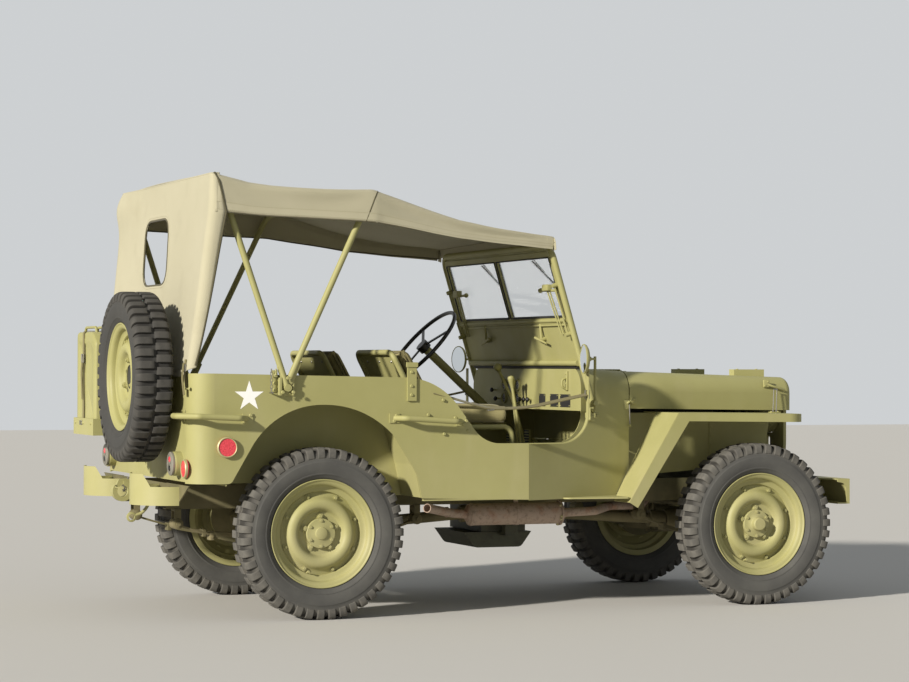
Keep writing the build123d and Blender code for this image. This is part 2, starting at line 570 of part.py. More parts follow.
def cowl():
    t = SHEET
    x0, x1 = COWL_REAR_X, COWL_FRONT_X
    h0, h1 = body_half(x0), body_half(x1)
    r = COWL_CORNER_R
    shell = loft([arch_section(x0, h0, 480, COWL_TOP[0], r), arch_section(x1, h1, 480, COWL_TOP[1], r)], ruled=True)
    hollow = loft([arch_section(x0 - 1, h0 - t, 400, COWL_TOP[0] - t, r - t),
                   arch_section(x1 + 1, h1 - t, 400, COWL_TOP[1] - t, r - t)], ruled=True)
    shell -= hollow
    strip = top_plate([(SEAM_X + 1, -HALF_BODY, 0), (x0, -h0, 0), (x0, -h0 + t, 0), (SEAM_X + 1, -HALF_BODY + t, 0)], 481, 980)
    door = [(880, DOOR_SILL_Z, 0), (x0, DOOR_SILL_Z, 130), (x0, 1200, 0), (880, 1200, 0)]
    strip -= side_plate(door, -800, -560)
    shell += both_sides(strip)
    dash = arch_section(x0, h0 - t + 1, 858, COWL_TOP[0] - t + 1, r - t)
    shell += extrude(dash, amount=t, dir=(1, 0, 0))
    firewall = arch_section(x1 - t, h1 - t + 1, 709, COWL_TOP[1] - t + 1, r - t)
    shell += extrude(firewall, amount=t, dir=(1, 0, 0))
    step = [(1095, -body_half(1095) + 1, 0), (1382, -body_half(1382) + 1, 0), (1382, -HALF_BODY, 12), (1095, -HALF_BODY + 40, 30)]
    shell += both_sides(top_plate(step, 481, 487))
    pivot = box(SCREEN_FOOT[0] - 22, SCREEN_FOOT[0] + 26, -body_half(1240) - 4, -body_half(1240) + 4, 815, 905)
    shell += both_sides(pivot)
    return shell


def fender():
    """The right front fender: flat top, sloping leg, skirt and the panel inside the wheel arch."""
    x0, x1 = FENDER_X
    z0, z1 = FENDER_TOP
    y_out = -HALF_BODY
    y_in = -APRON_Y
    slab = side_plate([(x0, z0, 0), (x1, z1, 0), (x1, z1 - FENDER_SKIRT, 0), (x0, z0 - FENDER_SKIRT, 0)], y_out, y_in)
    plan = [(x0, y_out, 0), (x1, y_out, 90), (x1, y_in, 0), (x0, y_in, 0)]
    slab &= top_plate(plan, 700, 900)
    hollow_plan = [(x0 - 5, y_out + 4, 0), (x1 - 4, y_out + 4, 86), (x1 - 4, y_in + 9, 0), (x0 - 5, y_in + 9, 0)]
    hollow = side_plate([(x0 - 9, z0 - 5, 0), (x1 + 9, z1 - 5, 0), (x1 + 9, 600, 0), (x0 - 9, 600, 0)], y_out + 1, y_in + 9)
    slab -= hollow & top_plate(hollow_plan, 600, 900)
    fx, fz = LEG_FOOT
    leg_outer = [(x0 + 3, z0, 0), (fx, fz, 0), (fx + 40, fz - 24, 0), (x0 + 52, z0 - FENDER_SKIRT, 0), (x0 + 52, z0 - 1, 0)]
    leg = side_plate(leg_outer, y_out, y_out + 4)
    top_in, foot_in = -body_half(COWL_FRONT_X) + 30, -body_half(fx) - 3
    dx, dz = x0 - fx, z0 - fz
    run = math.hypot(dx, dz)
    slope = Plane(origin=(fx, 0, fz), x_dir=(dx / run, 0, dz / run), z_dir=(dz / run, 0, -dx / run))
    # On this plane the second axis points to the left of the car.
    side = 1 if slope.y_dir.Y > 0 else -1
    plate = make_face(Polyline((0, side * (y_out + 1)), (run, side * (y_out + 1)), (run, side * top_in), (0, side * foot_in), close=True))
    leg += extrude(slope * plate, amount=4, dir=(dz / run, 0, -dx / run))
    apron = [(COWL_FRONT_X + 6, RAIL_Z[1] + 8, 0), (x1 - 40, RAIL_Z[1] + 60, 40), (x1 - 4, z1 - 6, 0), (x0 - 8, z0 - 6, 0), (COWL_FRONT_X + 6, z0 - 6, 0)]
    panel = side_plate(apron, y_in, y_in + 5)
    return slab + leg + panel


def hood():
    """The hood: a shell with rounded shoulders and a rolled front edge."""
    x0, x1 = HOOD_REAR_X, HOOD_FRONT_X
    r = COWL_CORNER_R
    outer = loft([arch_section(x0, HOOD_HALF[0], HOOD_BOTTOM[0], HOOD_TOP[0], r),
                  arch_section(x1, HOOD_HALF[1], HOOD_BOTTOM[1], HOOD_TOP[1], r - 20)], ruled=True)
    nose = [e for e in outer.edges() if abs(e.center().X - x1) < 1 and e.center().Z > HOOD_BOTTOM[1] + 20]
    outer = fillet(nose, 34)
    t = 4.0
    inner = loft([arch_section(x0 - 1, HOOD_HALF[0] - t, HOOD_BOTTOM[0] - 60, HOOD_TOP[0] - t, r - t),
                  arch_section(x1 - t, HOOD_HALF[1] - t, HOOD_BOTTOM[1] - 60, HOOD_TOP[1] - t, r - 20 - t)], ruled=True)
    nose = [e for e in inner.edges() if abs(e.center().X - x1 + t) < 1 and e.center().Z > HOOD_BOTTOM[1] - 30]
    inner = fillet(nose, 30)
    shell = outer - inner
    half = HOOD_HALF[1] - 36
    shell -= box(x1 - 40, x1 + 1, -half, half, 700, HOOD_TOP[1] - 38)
    for y in (-300, 300):
        shell += box(2092, 2246, y - 24, y + 24, HOOD_TOP[1] - 1, HOOD_TOP[1] + 36)
    return shell


def grille():
    half = HOOD_HALF[1] - 12
    rows = [(-half + 20, 560, 60), (-half, 700, 60), (-half, HOOD_TOP[1] - 15, 58), (half, HOOD_TOP[1] - 15, 58), (half, 700, 60), (half - 20, 560, 60)]
    x0 = GRILLE_X
    plate = front_plate(rows, x0, x0 + 14)
    for k in range(-4, 5):
        y = 62 * k
        top = 955 if abs(k) < 2.5 else 735
        plate -= front_plate([(y - 19, 610, 18), (y - 19, top, 18), (y + 19, top, 18), (y + 19, 610, 18)], x0 - 1, x0 + 15)
    for side in (-1, 1):
        plate -= rod((x0 - 5, side * 268, 838), (x0 + 20, side * 268, 838), 90)
    return plate


def headlamps():
    """The left lamp and the marker lamp below it, turned about x, then both mirrored."""
    # x from the grille's back face, radius
    lamp = [(-120, 0), (-120, 14), (-90, 14), (-90, 60), (-30, 86), (8, 86), (8, 79), (17, 66), (24, 42), (27, 0)]
    marker = [(14.3, 0), (14.3, 27), (30, 27), (30, 22), (37, 14), (39, 0)]
    left = turned_x(lamp, (GRILLE_X, 268, 838)) + turned_x(marker, (GRILLE_X, 322, 712))
    return both_sides(left)


def screen_plane():
    a = math.radians(SCREEN_TILT)
    return Plane(origin=(SCREEN_FOOT[0], 0, SCREEN_FOOT[1]), x_dir=(0, 1, 0), z_dir=(math.cos(a), 0, math.sin(a)))


def screen_bar(u0, u1, v0, v1, thick, lift=0.0):
    """A flat bar in the windscreen's plane: across, up the slope, and thickness about it."""
    face = make_face(Polyline((u0, v0), (u1, v0), (u1, v1), (u0, v1), close=True))
    return extrude(screen_plane() * Pos(0, 0, lift - thick / 2) * face, amount=thick)


def windscreen_frame():
    h, top = SCREEN_HALF, SCREEN_HEIGHT
    place = screen_plane()
    ends = [place.from_local_coords((u, v, 0)) for u, v in [(-h, -30), (-h, top), (h, top), (h, -30)]]
    frame = tube([tuple(p) for p in ends], 60, SCREEN_TUBE_R)
    v0, v1 = SCREEN_PANEL
    frame += screen_bar(-h + 4, h - 4, v0, v1, 5)
    frame += screen_bar(-h + 8, h - 8, v0 - 2, v0 + 22, 14)
    glass_top = top - 22
    frame += screen_bar(-h + 12, h - 12, v1 - 6, v1 + 22, 16)
    frame += screen_bar(-h + 12, h - 12, glass_top - 24, glass_top, 16)
    frame += screen_bar(-10, 10, v1, glass_top, 14)
    for s in (-1, 1):
        frame += screen_bar(s * (h - 34), s * (h - 12), v1, glass_top, 16)
    for s in (-1, 1):
        foot = place.from_local_coords((s * h, -12, 0))
        frame += rod((foot.X, s * (body_half(1240) + 5), foot.Z), (foot.X, s * h, foot.Z), 9)
    return frame


def windscreen_glass():
    h = SCREEN_HALF
    v0, v1 = SCREEN_PANEL[1] + 22.3, SCREEN_HEIGHT - 46.3
    return screen_bar(-h + 34.3, -10.3, v0, v1, 5) + screen_bar(10.3, h - 34.3, v0, v1, 5)


def canvas_section(station, inset):
    x, half_top, top, half_low, low = station
    drop = 300 if inset else 0
    t = inset
    slope = (half_low - half_top) / (top - low)
    low_half = half_low - t + slope * drop
    rows = [(-low_half, low - drop, 0), (-half_top + t, top - t, CANVAS_CORNER_R - t),
            (half_top - t, top - t, CANVAS_CORNER_R - t), (low_half, low - drop, 0)]
    path = FilletPolyline(*[(x, y, z) for y, z, r in rows], radius=[r for y, z, r in rows], close=True)
    return make_face(path)


def canvas_top():
    t = CANVAS_WALL
    outer = loft([canvas_section(s, 0) for s in CANVAS_STATIONS], ruled=True)
    inner = loft([canvas_section(s, t) for s in CANVAS_STATIONS], ruled=True)
    deck = outer - inner
    x0, half_top, top, half_low, low = CANVAS_STATIONS[0]
    fx, fz, foot_half = CURTAIN_FOOT
    lean = (x0 - fx) / (top - fz)
    y0, y1, r = half_low - 1.5, half_top - 1.5, CANVAS_CORNER_R - 1.5
    rows = [(-y0, low, 0), (-y1, top - 1.5, r), (y1, top - 1.5, r), (y0, low, 0)]
    path = FilletPolyline(*[(x0 + (z - top) * lean + 1, y, z) for y, z, r in rows], radius=[r for y, z, r in rows], close=True)
    back = extrude(make_face(path), amount=t, dir=(1, 0, 0))
    # height, back x, front x of the side flap, half width
    levels = [(fz, fx, -553, foot_half), (low, x0 + (low - top) * lean, -443, half_low - 1.5), (1800, x0 - 3, -470, 741.6)]
    wrap = loft([curtain_section(*v, 0) for v in levels], ruled=True) - loft([curtain_section(*v, t) for v in levels], ruled=True)
    window = [(60 - 172, 1392, 60), (60 - 172, 1700, 60), (60 + 172, 1700, 60), (60 + 172, 1392, 60)]
    return deck + back + wrap - front_plate(window, -700, -400)


def curtain_section(z, x_back, x_front, half, inset):
    """The rear curtain in plan at one height: the back and two short side flaps."""
    half -= inset
    x0, x1 = x_back + inset, x_front + 20 * (inset > 0)
    rows = [(x1, -half, 0), (x0, -half, 22 - inset), (x0, half, 22 - inset), (x1, half, 0)]
    path = FilletPolyline(*[(x, y, z) for x, y, r in rows], radius=[r for x, y, r in rows], close=True)
    return make_face(path)


def top_bows():
    px, py, pz = BOW_PIVOT
    rear = tube([(px, -py, pz), (-455, -714, 1792), (-455, 714, 1792), (px, py, pz)], 70, BOW_R)
    front = tube([(px + 16, -py, pz + 30), (188, -714, 1750), (188, 714, 1750), (px + 16, py, pz + 30)], 70, BOW_R)
    bows = rear + front
    bows += both_sides(box(px - 34, px + 40, -py - 16, -HALF_BODY, pz - 44, pz + 40))
    bows += both_sides(box(px - 60, px - 34, -py - 12, -HALF_BODY, pz - 30, pz + 60))
    return bows


# Seats and controls

def front_seat_frame(y, x_back):
    """A tube frame: two legs and rails joined over the back."""
    half = 225
    foot = FRONT_FLOOR_Z + 7
    loop = [(x_back + 190, y - half, foot), (x_back + 170, y - half, 800), (x_back + 10, y - half, 1108),
            (x_back + 10, y + half, 1108), (x_back + 170, y + half, 800), (x_back + 190, y + half, foot)]
    frame = tube(loop, 40, 12)
    for s in (-1, 1):
        side = y + s * half
        frame += tube([(x_back + 175, side, 790), (x_back + 560, side, 790), (x_back + 565, side, foot)], 40, 11)
        frame += rod((x_back + 188, side, 590), (x_back + 564, side, 590), 9)
    for x in (205, 520):
        frame += rod((x_back + x, y - half, 790), (x_back + x, y + half, 790), 9)
    return frame


def front_seat_pads(y, x_back):
    cushion = [(x_back + 192, 806, 20), (x_back + 188, 880, 30), (x_back + 556, 890, 30), (x_back + 556, 806, 20)]
    back = [(x_back + 176, 900, 14), (x_back + 52, 1122, 14), (x_back + 84, 1136, 14), (x_back + 212, 912, 14)]
    return side_plate(cushion, y - 205, y + 205) + side_plate(back, y - 205, y + 205)


def rear_seat_frame():
    half = 440
    frame = tube([(-300, -half, 616), (-300, -half, 990), (-300, half, 990), (-300, half, 616)], 40, 12)
    frame += tube([(-300, -half, 790), (110, -half, 790), (110, -half, 616)], 40, 12)
    frame += tube([(-300, half, 790), (110, half, 790), (110, half, 616)], 40, 12)
    frame += rod((70, -half, 790), (70, half, 790), 12)
    return frame


def rear_seat_pads():
    cushion = side_plate([(-272, 804, 20), (-272, 866, 30), (130, 866, 30), (130, 804, 20)], -420, 420)
    back = side_plate([(-286, 880, 14), (-286, 984, 14), (-226, 984, 20), (-226, 880, 20)], -420, 420)
    return cushion + back


def column_point(distance):
    a = math.radians(COLUMN_ANGLE)
    x, y, z = WHEEL_CENTRE
    return (x + distance * math.cos(a), y, z - distance * math.sin(a))


def steering_wheel():
    a = math.radians(COLUMN_ANGLE)
    plane = Plane(origin=WHEEL_CENTRE, x_dir=(0, 1, 0), z_dir=(-math.cos(a), 0, math.sin(a)))
    piece = Torus(STEERING_WHEEL_R - 9, 9)
    piece += Pos(0, 0, -8) * Cylinder(30, 34)
    for k in range(3):
        spoke = Rot(0, 0, 90 + 120 * k) * Pos((STEERING_WHEEL_R - 9) / 2, 0, -4) * Box(STEERING_WHEEL_R - 12, 12, 7)
        piece += spoke
    return plane * piece


def steering_column():
    column = rod(column_point(25.3), column_point(830), 20)
    column += box(1432, 1540, 318, 366, RAIL_Z[1] + 0.5, 622)
    column += rod(column_point(430), column_point(452), 30)
    column += box(1180, 1196, 350, 370, 826, 856)
    return column


def levers_and_pedals():
    set_ = tube([(1150, -62, 672), (1128, -62, 830), (1100, -62, 985)], 60, 8)
    set_ += Pos(1100, -62, 992) * Sphere(19)
    set_ += tube([(1150, -22, 672), (1132, -22, 820), (1120, -22, 968)], 60, 8)
    set_ += Pos(1120, -22, 976) * Sphere(19)
    set_ += tube([(1210, 40, 680), (1160, 40, 880), (1075, 40, 1040)], 80, 9)
    set_ += Pos(1075, 40, 1046) * Sphere(22)
    for y in (215, 300, 430):
        set_ += box(1296, 1304, y - 30, y + 30, 690, 760)
        set_ += rod((1302, y, 724), (1398, y, 642), 8)
    return set_


def passenger_seat():
    return front_seat_frame(-345, 330), front_seat_pads(-345, 330)


def driver_seat():
    return front_seat_frame(345, 250), front_seat_pads(345, 250)


# Lamps, mirrors, engine

def tail_lamps():
    lamp = rod((REAR_PANEL_X, -556, 648), (REAR_PANEL_X - 40, -556, 648), 50)
    rim = lamp.edges().filter_by(GeomType.CIRCLE).sort_by(Axis.X)[0]
    return both_sides(fillet(rim, 14))


def reflectors():
    disc = rod((REAR_PANEL_X, -648, 630), (REAR_PANEL_X - 12, -648, 630), 38)
    disc -= rod((REAR_PANEL_X + 60, -648, 630), (REAR_PANEL_X, -648, 630), 60)
    disc += rod((-428, -HALF_BODY, 718), (-428, -HALF_BODY - 14, 718), 41)
    return both_sides(disc)


MIRROR_FACE = (1163, -732, 1083)


def mirror_plane():
    a = math.radians(10)
    return Plane(origin=MIRROR_FACE, z_dir=(-math.cos(a), math.sin(a), 0))


def mirrors():
    post_x, post_y = 1237, -672
    x, y, z = MIRROR_FACE
    arm = rod((post_x, -body_half(post_x) - 4, 860), (post_x, post_y, 860), 8)
    arm += rod((post_x, post_y, 852), (post_x, post_y, 1094), 6)
    arm += rod((post_x, post_y, 1083), (x + 4, y, z), 5)
    arm += mirror_plane() * Cylinder(54, 10)
    return both_sides(arm)


def mirror_glass():
    return both_sides(mirror_plane() * Pos(0, 0, 6) * Cylinder(50, 2))


def engine_block():
    return box(1640, 2110, -140, 150, 500, 930)


def radiator():
    return box(2150, 2205, -235, 235, 560, 950) + rod((2178, 0, 948), (2178, 0, 974), 26)


def make_all():
    passenger_frame, passenger_pads = passenger_seat()
    driver_frame, driver_pads = driver_seat()
    right_side = tub_side() + side_fittings()
    knuckle_left = knuckle()
    pieces = {
        "frame": chassis_frame(),
        "front_bumper": front_bumper(),
        "rear_bumperettes": both_sides(rear_bumperette()),
        "pintle_hook": pintle_hook(),
        "rear_axle": axle_casing(0, 1),
        "front_axle": axle_casing(FRONT_AXLE, -1),
        "leaf_springs": both_sides(spring_pack(0, 533)) + both_sides(spring_pack(FRONT_AXLE - 8, 420)),
        "engine_block": engine_block(),
        "radiator": radiator(),
        "dampers": both_sides(dampers()),
        "gearbox": gearbox(),
        "prop_shafts": prop_shafts(),
        "exhaust": exhaust(),
        "tub_floor": tub_floor(),
        "wheelhouses": wheelhouses(),
        "tunnel": tunnel(),
        "toe_board": toe_board(),
        "side_right": right_side,
        "side_left": other_side(right_side),
        "rear_panel": rear_panel(),
        "cowl": cowl(),
        "fender_right": fender(),
        "fender_left": other_side(fender()),
        "grille": grille(),
        "headlamps": headlamps(),
        "hood": hood(),
        "windscreen_frame": windscreen_frame(),
        "windscreen_glass": windscreen_glass(),
        "canvas_top": canvas_top(),
        "top_bows": top_bows(),
        "driver_seat_frame": driver_frame,
        "driver_seat_pads": driver_pads,
        "passenger_seat_frame": passenger_frame,
        "passenger_seat_pads": passenger_pads,
        "rear_seat_frame": rear_seat_frame(),
        "rear_seat_pads": rear_seat_pads(),
        "steering_wheel": steering_wheel(),
        "steering_column": steering_column(),
        "levers_and_pedals": levers_and_pedals(),
        "fuel_can": fuel_can(),
        "can_rack": can_rack(),
        "spare_tyre": spare_place(tyre_solid()),
        "spare_wheel": spare_place(disc_wheel(3)),
        "tail_lamps": tail_lamps(),
        "reflectors": reflectors(),
        "mirrors": mirrors(),
        "mirror_glass": mirror_glass(),
        "knuckle_left": knuckle_left,
        "knuckle_right": other_side(knuckle_left),
        "tie_rod": tie_rod(),
    }
    # name, axle x, side, how far the hub stands out of the wheel's middle
    corners = [
        ("front_left", FRONT_AXLE, 1, 70), ("front_right", FRONT_AXLE, -1, 70),
        ("rear_left", 0.0, 1, 46), ("rear_right", 0.0, -1, 46),
    ]
    for name, x, side, reach in corners:
        place = Pos(x, side * HALF_TRACK, AXLE_Z)
        pieces["tyre_" + name] = place * tyre_solid()
        pieces["wheel_" + name] = place * wheel_solid(side, reach)
    return pieces


os.makedirs("parts", exist_ok=True)
for node, piece in make_all().items():
    export_step(Pos(-MID_X, 0, 0) * piece, "parts/" + node + ".step")
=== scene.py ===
import math

import bmesh
import bpy
from mathutils import Matrix, Vector, noise


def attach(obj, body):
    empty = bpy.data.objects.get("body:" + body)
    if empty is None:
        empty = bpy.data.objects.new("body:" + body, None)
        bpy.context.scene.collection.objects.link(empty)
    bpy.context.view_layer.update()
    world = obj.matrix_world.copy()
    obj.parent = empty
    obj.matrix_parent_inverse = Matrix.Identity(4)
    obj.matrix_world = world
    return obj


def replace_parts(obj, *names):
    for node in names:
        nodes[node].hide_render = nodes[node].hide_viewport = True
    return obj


# The army 4x4 car, seen as in its photo. Lengths are in metres.
# Positions in the tables below count x forward from the rear axle; at() moves them to the row frame.
MID_X = 0.875
FRONT_AXLE = 2.032
HALF_TRACK = 0.6223
TYRE_R = 0.356
# Points closer than this are one; a run straighter than this half angle needs no arc
WELD, STRAIGHT = 1e-5, 1.56
# A stitch: its share of the pitch, its height above the cloth and its width
STITCH_SHARE, STITCH_LIFT, STITCH_WIDTH = 0.62, 0.0004, 0.0012

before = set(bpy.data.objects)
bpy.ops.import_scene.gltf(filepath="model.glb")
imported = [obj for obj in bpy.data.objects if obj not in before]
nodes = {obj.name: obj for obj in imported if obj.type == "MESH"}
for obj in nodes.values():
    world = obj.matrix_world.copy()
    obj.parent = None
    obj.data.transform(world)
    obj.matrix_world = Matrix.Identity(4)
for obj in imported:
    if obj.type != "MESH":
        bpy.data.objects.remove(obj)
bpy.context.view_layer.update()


def at(x, y, z):
    """A place counted from the rear axle, in the row frame."""
    return Vector((x - MID_X, y, z))


def srgb(code):
    """A hex colour as the linear values that a socket takes."""
    parts = [int(code[i:i + 2], 16) / 255 for i in (0, 2, 4)]
    return [c / 12.92 if c <= 0.04045 else ((c + 0.055) / 1.055) ** 2.4 for c in parts] + [1.0]


# Materials

def add(tree, kind, inputs=None, out=0, **settings):
    """Adds a shader node and gives back one of its outputs; an input is a plain value or an output to link."""
    made = tree.nodes.new(kind)
    for key, value in settings.items():
        setattr(made, key, value)
    for key, value in (inputs or {}).items():
        if isinstance(value, bpy.types.NodeSocket):
            tree.links.new(value, made.inputs[key])
        else:
            made.inputs[key].default_value = value
    return made.outputs[out]


# A colour mix takes its mask at input 0 and its colours, where the mask is 0 and where it is 1, at 6 and 7
MIX = {"kind": "ShaderNodeMix", "out": 2, "data_type": "RGBA"}
TIMES = {"kind": "ShaderNodeMath", "operation": "MULTIPLY"}


def start(name, **values):
    """A new material with its surface shader; values are given by socket name."""
    mat = bpy.data.materials.new(name)
    mat.use_nodes = True
    tree = mat.node_tree
    shader = tree.nodes["Principled BSDF"]
    for key, value in values.items():
        shader.inputs[key.replace("_", " ")].default_value = value
    return mat, tree, shader


def finish(tree, shader, colour, height, strength, deep):
    """Gives the shader its colour and a relief that is as deep as a length in metres."""
    relief = add(tree, "ShaderNodeBump", {"Height": height, "Strength": strength, "Distance": deep})
    tree.links.new(relief, shader.inputs["Normal"])
    tree.links.new(colour, shader.inputs["Base Color"])


def spots(tree, scale, low, high, detail=4.0, stretch=None):
    """A noise mask in Object coordinates, from 0 below low to 1 above high; its grains are 1 / scale metres wide."""
    place = add(tree, "ShaderNodeTexCoord", out="Object")
    if stretch:
        place = add(tree, "ShaderNodeMapping", {"Vector": place, "Scale": stretch})
    grain = add(tree, "ShaderNodeTexNoise", {"Vector": place, "Scale": scale, "Detail": detail, "Roughness": 0.6})
    return add(tree, "ShaderNodeMapRange", {"Value": grain, "From Min": low, "From Max": high})


def height_mask(tree, low, high):
    """A mask that is 1 at the low height and 0 at the high one."""
    place = add(tree, "ShaderNodeTexCoord", out="Object")
    z = add(tree, "ShaderNodeSeparateXYZ", {"Vector": place}, out="Z")
    return add(tree, "ShaderNodeMapRange", {"Value": z, "From Min": high, "From Max": low})


def paint(name, base, shade, dust, rough, dusty):
    """Brushed-on military paint: two tones, road dust that thickens towards the ground, brush marks 4 mm wide."""
    mat, tree, shader = start(name, Specular_IOR_Level=0.35)
    tone = add(tree, inputs={0: spots(tree, 2.2, 0.35, 0.7), 6: srgb(base), 7: srgb(shade)}, **MIX)
    streak = add(tree, inputs={0: spots(tree, 9.0, 0.52, 0.78, stretch=(1.0, 1.0, 0.25)), 1: 0.25}, **TIMES)
    tone = add(tree, inputs={0: streak, 6: tone, 7: srgb(dust)}, **MIX)
    low = add(tree, inputs={0: height_mask(tree, 0.35, 0.80), 1: spots(tree, 5.0, 0.3, 0.7)}, **TIMES)
    low = add(tree, inputs={0: low, 1: dusty}, **TIMES)
    tone = add(tree, inputs={0: low, 6: tone, 7: srgb(dust)}, **MIX)
    worn = {"Value": spots(tree, 14.0, 0.3, 0.8), "To Min": rough, "To Max": rough + 0.16}
    tree.links.new(add(tree, "ShaderNodeMapRange", worn), shader.inputs["Roughness"])
    finish(tree, shader, tone, spots(tree, 260.0, 0.3, 0.8, 2.0), 0.10, 0.0006)
    return mat


# Semi-matt olive drab enamel brushed on pressed steel: an even colour with a soft, broad sheen
OLIVE = paint("olive_drab_enamel", "A19D68", "98945F", "ADA57E", 0.50, 0.45)
# The same enamel under the car, dulled and browned by road dust
CHASSIS = paint("dusty_chassis_enamel", "5E5B3C", "4A4833", "8D8160", 0.72, 0.75)


def canvas_material(name, base, shade, stain):
    """Plain-woven cotton canvas: threads in UV space, bleached patches and stains in random patches."""
    mat, tree, shader = start(name, Roughness=0.93, Specular_IOR_Level=0.12, Sheen_Weight=0.15)
    tone = add(tree, inputs={0: spots(tree, 2.0, 0.3, 0.75), 6: srgb(base), 7: srgb(shade)}, **MIX)
    stained = add(tree, inputs={0: spots(tree, 6.0, 0.55, 0.8), 1: 0.3}, **TIMES)
    tone = add(tree, inputs={0: stained, 6: tone, 7: srgb(stain)}, **MIX)
    # Threads 1.2 mm apart, about twice as coarse as real ones so that they show
    uv = add(tree, "ShaderNodeTexCoord", out="UV")
    warp, weft = [add(tree, "ShaderNodeTexWave", {"Vector": uv, "Scale": 260.0}, "Fac", bands_direction=way)
                  for way in ("X", "Y")]
    cloth = add(tree, "ShaderNodeMath", {0: warp, 1: weft}, operation="MAXIMUM")
    slub = add(tree, "ShaderNodeMath", {0: cloth, 1: spots(tree, 120.0, 0.2, 0.9)}, operation="ADD")
    finish(tree, shader, tone, slub, 0.35, 0.0007)
    return mat


# Sun-bleached cotton canvas of the top: matt and chalky
CANVAS = canvas_material("bleached_cotton_canvas", "B3AD93", "A9A388", "928B71")
# Khaki cotton canvas of the seats: matt and a little warmer
SEAT_CANVAS = canvas_material("khaki_seat_canvas", "A79E70", "938A60", "776F4C")
# Cotton webbing of straps and bindings: matt and darker
WEBBING = canvas_material("khaki_cotton_webbing", "7E7650", "6B6444", "544E36")
# Dark olive cotton piping: a thin dark line along the canvas edges
PIPING = canvas_material("dark_olive_piping", "5B5642", "524E3B", "474333")
# Waxed olive thread: small matt dashes
THREAD = start("waxed_olive_thread", Base_Color=srgb("8C8464"), Roughness=0.8)[0]


def rubber():
    """Dusty rubber: grey flanks and brown tread, told apart by the zone attribute, with painted shade on the slots'
    floors; the spare is cleaner.
    """
    mat, tree, shader = start("dusty_tyre_rubber", Specular_IOR_Level=0.3, Roughness=0.84)
    zone = add(tree, "ShaderNodeAttribute", out="Color", attribute_name="zone")
    parts = add(tree, "ShaderNodeSeparateColor", {"Color": zone}).node.outputs
    flank = add(tree, inputs={0: spots(tree, 7.0, 0.35, 0.7), 6: srgb("4D4C49"), 7: srgb("5A5954")}, **MIX)
    tread = add(tree, inputs={0: spots(tree, 16.0, 0.3, 0.7), 6: srgb("52504B"), 7: srgb("67645D")}, **MIX)
    tone = add(tree, inputs={0: parts["Red"], 6: flank, 7: tread}, **MIX)
    dust = add(tree, inputs={0: spots(tree, 40.0, 0.5, 0.75), 1: parts["Red"]}, **TIMES)
    dust = add(tree, inputs={0: dust, 1: 0.3}, **TIMES)
    tone = add(tree, inputs={0: dust, 6: tone, 7: srgb("867F73")}, **MIX)
    # Painted shade in the tread's slots: their floors are darkened, fully in the middle of the tread and less towards
    # the shoulders
    tone = add(tree, inputs={0: parts["Green"], 6: tone, 7: srgb("393733")}, **MIX)
    spare = add(tree, inputs={0: parts["Blue"], 1: 0.62}, **TIMES)
    tone = add(tree, inputs={0: spare, 6: tone, 7: srgb("2E2D2B")}, **MIX)
    finish(tree, shader, tone, spots(tree, 180.0, 0.3, 0.8, 3.0), 0.18, 0.0008)
    return mat


def rusty(name, base, rust, amount, rough=0.8):
    """Bare or thinly painted steel with rust blooms and pits about 10 mm wide."""
    mat, tree, shader = start(name, Roughness=rough, Metallic=0.25)
    tone = add(tree, inputs={0: spots(tree, 11.0, amount, amount + 0.2), 6: srgb(base), 7: srgb(rust)}, **MIX)
    specks = add(tree, inputs={0: spots(tree, 60.0, 0.5, 0.7), 1: 0.4}, **TIMES)
    tone = add(tree, inputs={0: specks, 6: tone, 7: srgb("3B2C22")}, **MIX)
    finish(tree, shader, tone, spots(tree, 90.0, 0.3, 0.8), 0.3, 0.0012)
    return mat


RUBBER = rubber()
# Sheet steel of the exhaust, browned by heat: matt, with rust blooms
EXHAUST = rusty("rust_browned_exhaust_steel", "AC9886", "A0745C", 0.52)
# Cast iron under thin grey-green paint and grease: dark and dull
IRON = rusty("greasy_painted_cast_iron", "474837", "3A3A2E", 0.5, 0.6)
# Worn bare steel of buckles, catches and pins: blurred bright glints
STEEL = start("worn_bare_steel", Base_Color=srgb("8F8C84"), Metallic=0.9, Roughness=0.42)[0]
# Black enamel of plates, dials and the steering wheel: black with a soft gloss
BLACK = start("black_enamel", Base_Color=srgb("201F1C"), Roughness=0.42)[0]
# Black rubber of seals and pads: dull black
SEAL = start("black_rubber_seal", Base_Color=srgb("262522"), Roughness=0.75)[0]
# White enamel of the star and of dial marks: clean white, half matt
WHITE = start("white_enamel", Base_Color=srgb("F6F5F0"), Roughness=0.5)[0]
# Silvered glass of the mirrors: a clear image
MIRROR = start("silvered_glass", Base_Color=srgb("E4E8EA"), Metallic=1.0, Roughness=0.04)[0]
# Clear lens glass of the lamps: pale and glossy
LENS = start("clear_lamp_glass", Base_Color=srgb("DDE2DC"), Roughness=0.08, Transmission_Weight=0.6)[0]
# Thin flat glass of the windscreen: nearly unseen, with faint reflections
PANE = start("thin_window_glass", Base_Color=srgb("EEF3EE"), Roughness=0.02, Transmission_Weight=1.0, IOR=1.12,
             Alpha=0.22)[0]
# Dull zinc of the tail lamps' faces: grey, blurred metal
LAMP_GREY = start("grey_zinc_lamp_face", Base_Color=srgb("8C887C"), Metallic=0.35, Roughness=0.55)[0]
# Worn, once painted brass of lamp rims and bright bolts: pale and half metallic
RIM = start("worn_painted_brass_rim", Base_Color=srgb("B4AC80"), Metallic=0.3, Roughness=0.45)[0]


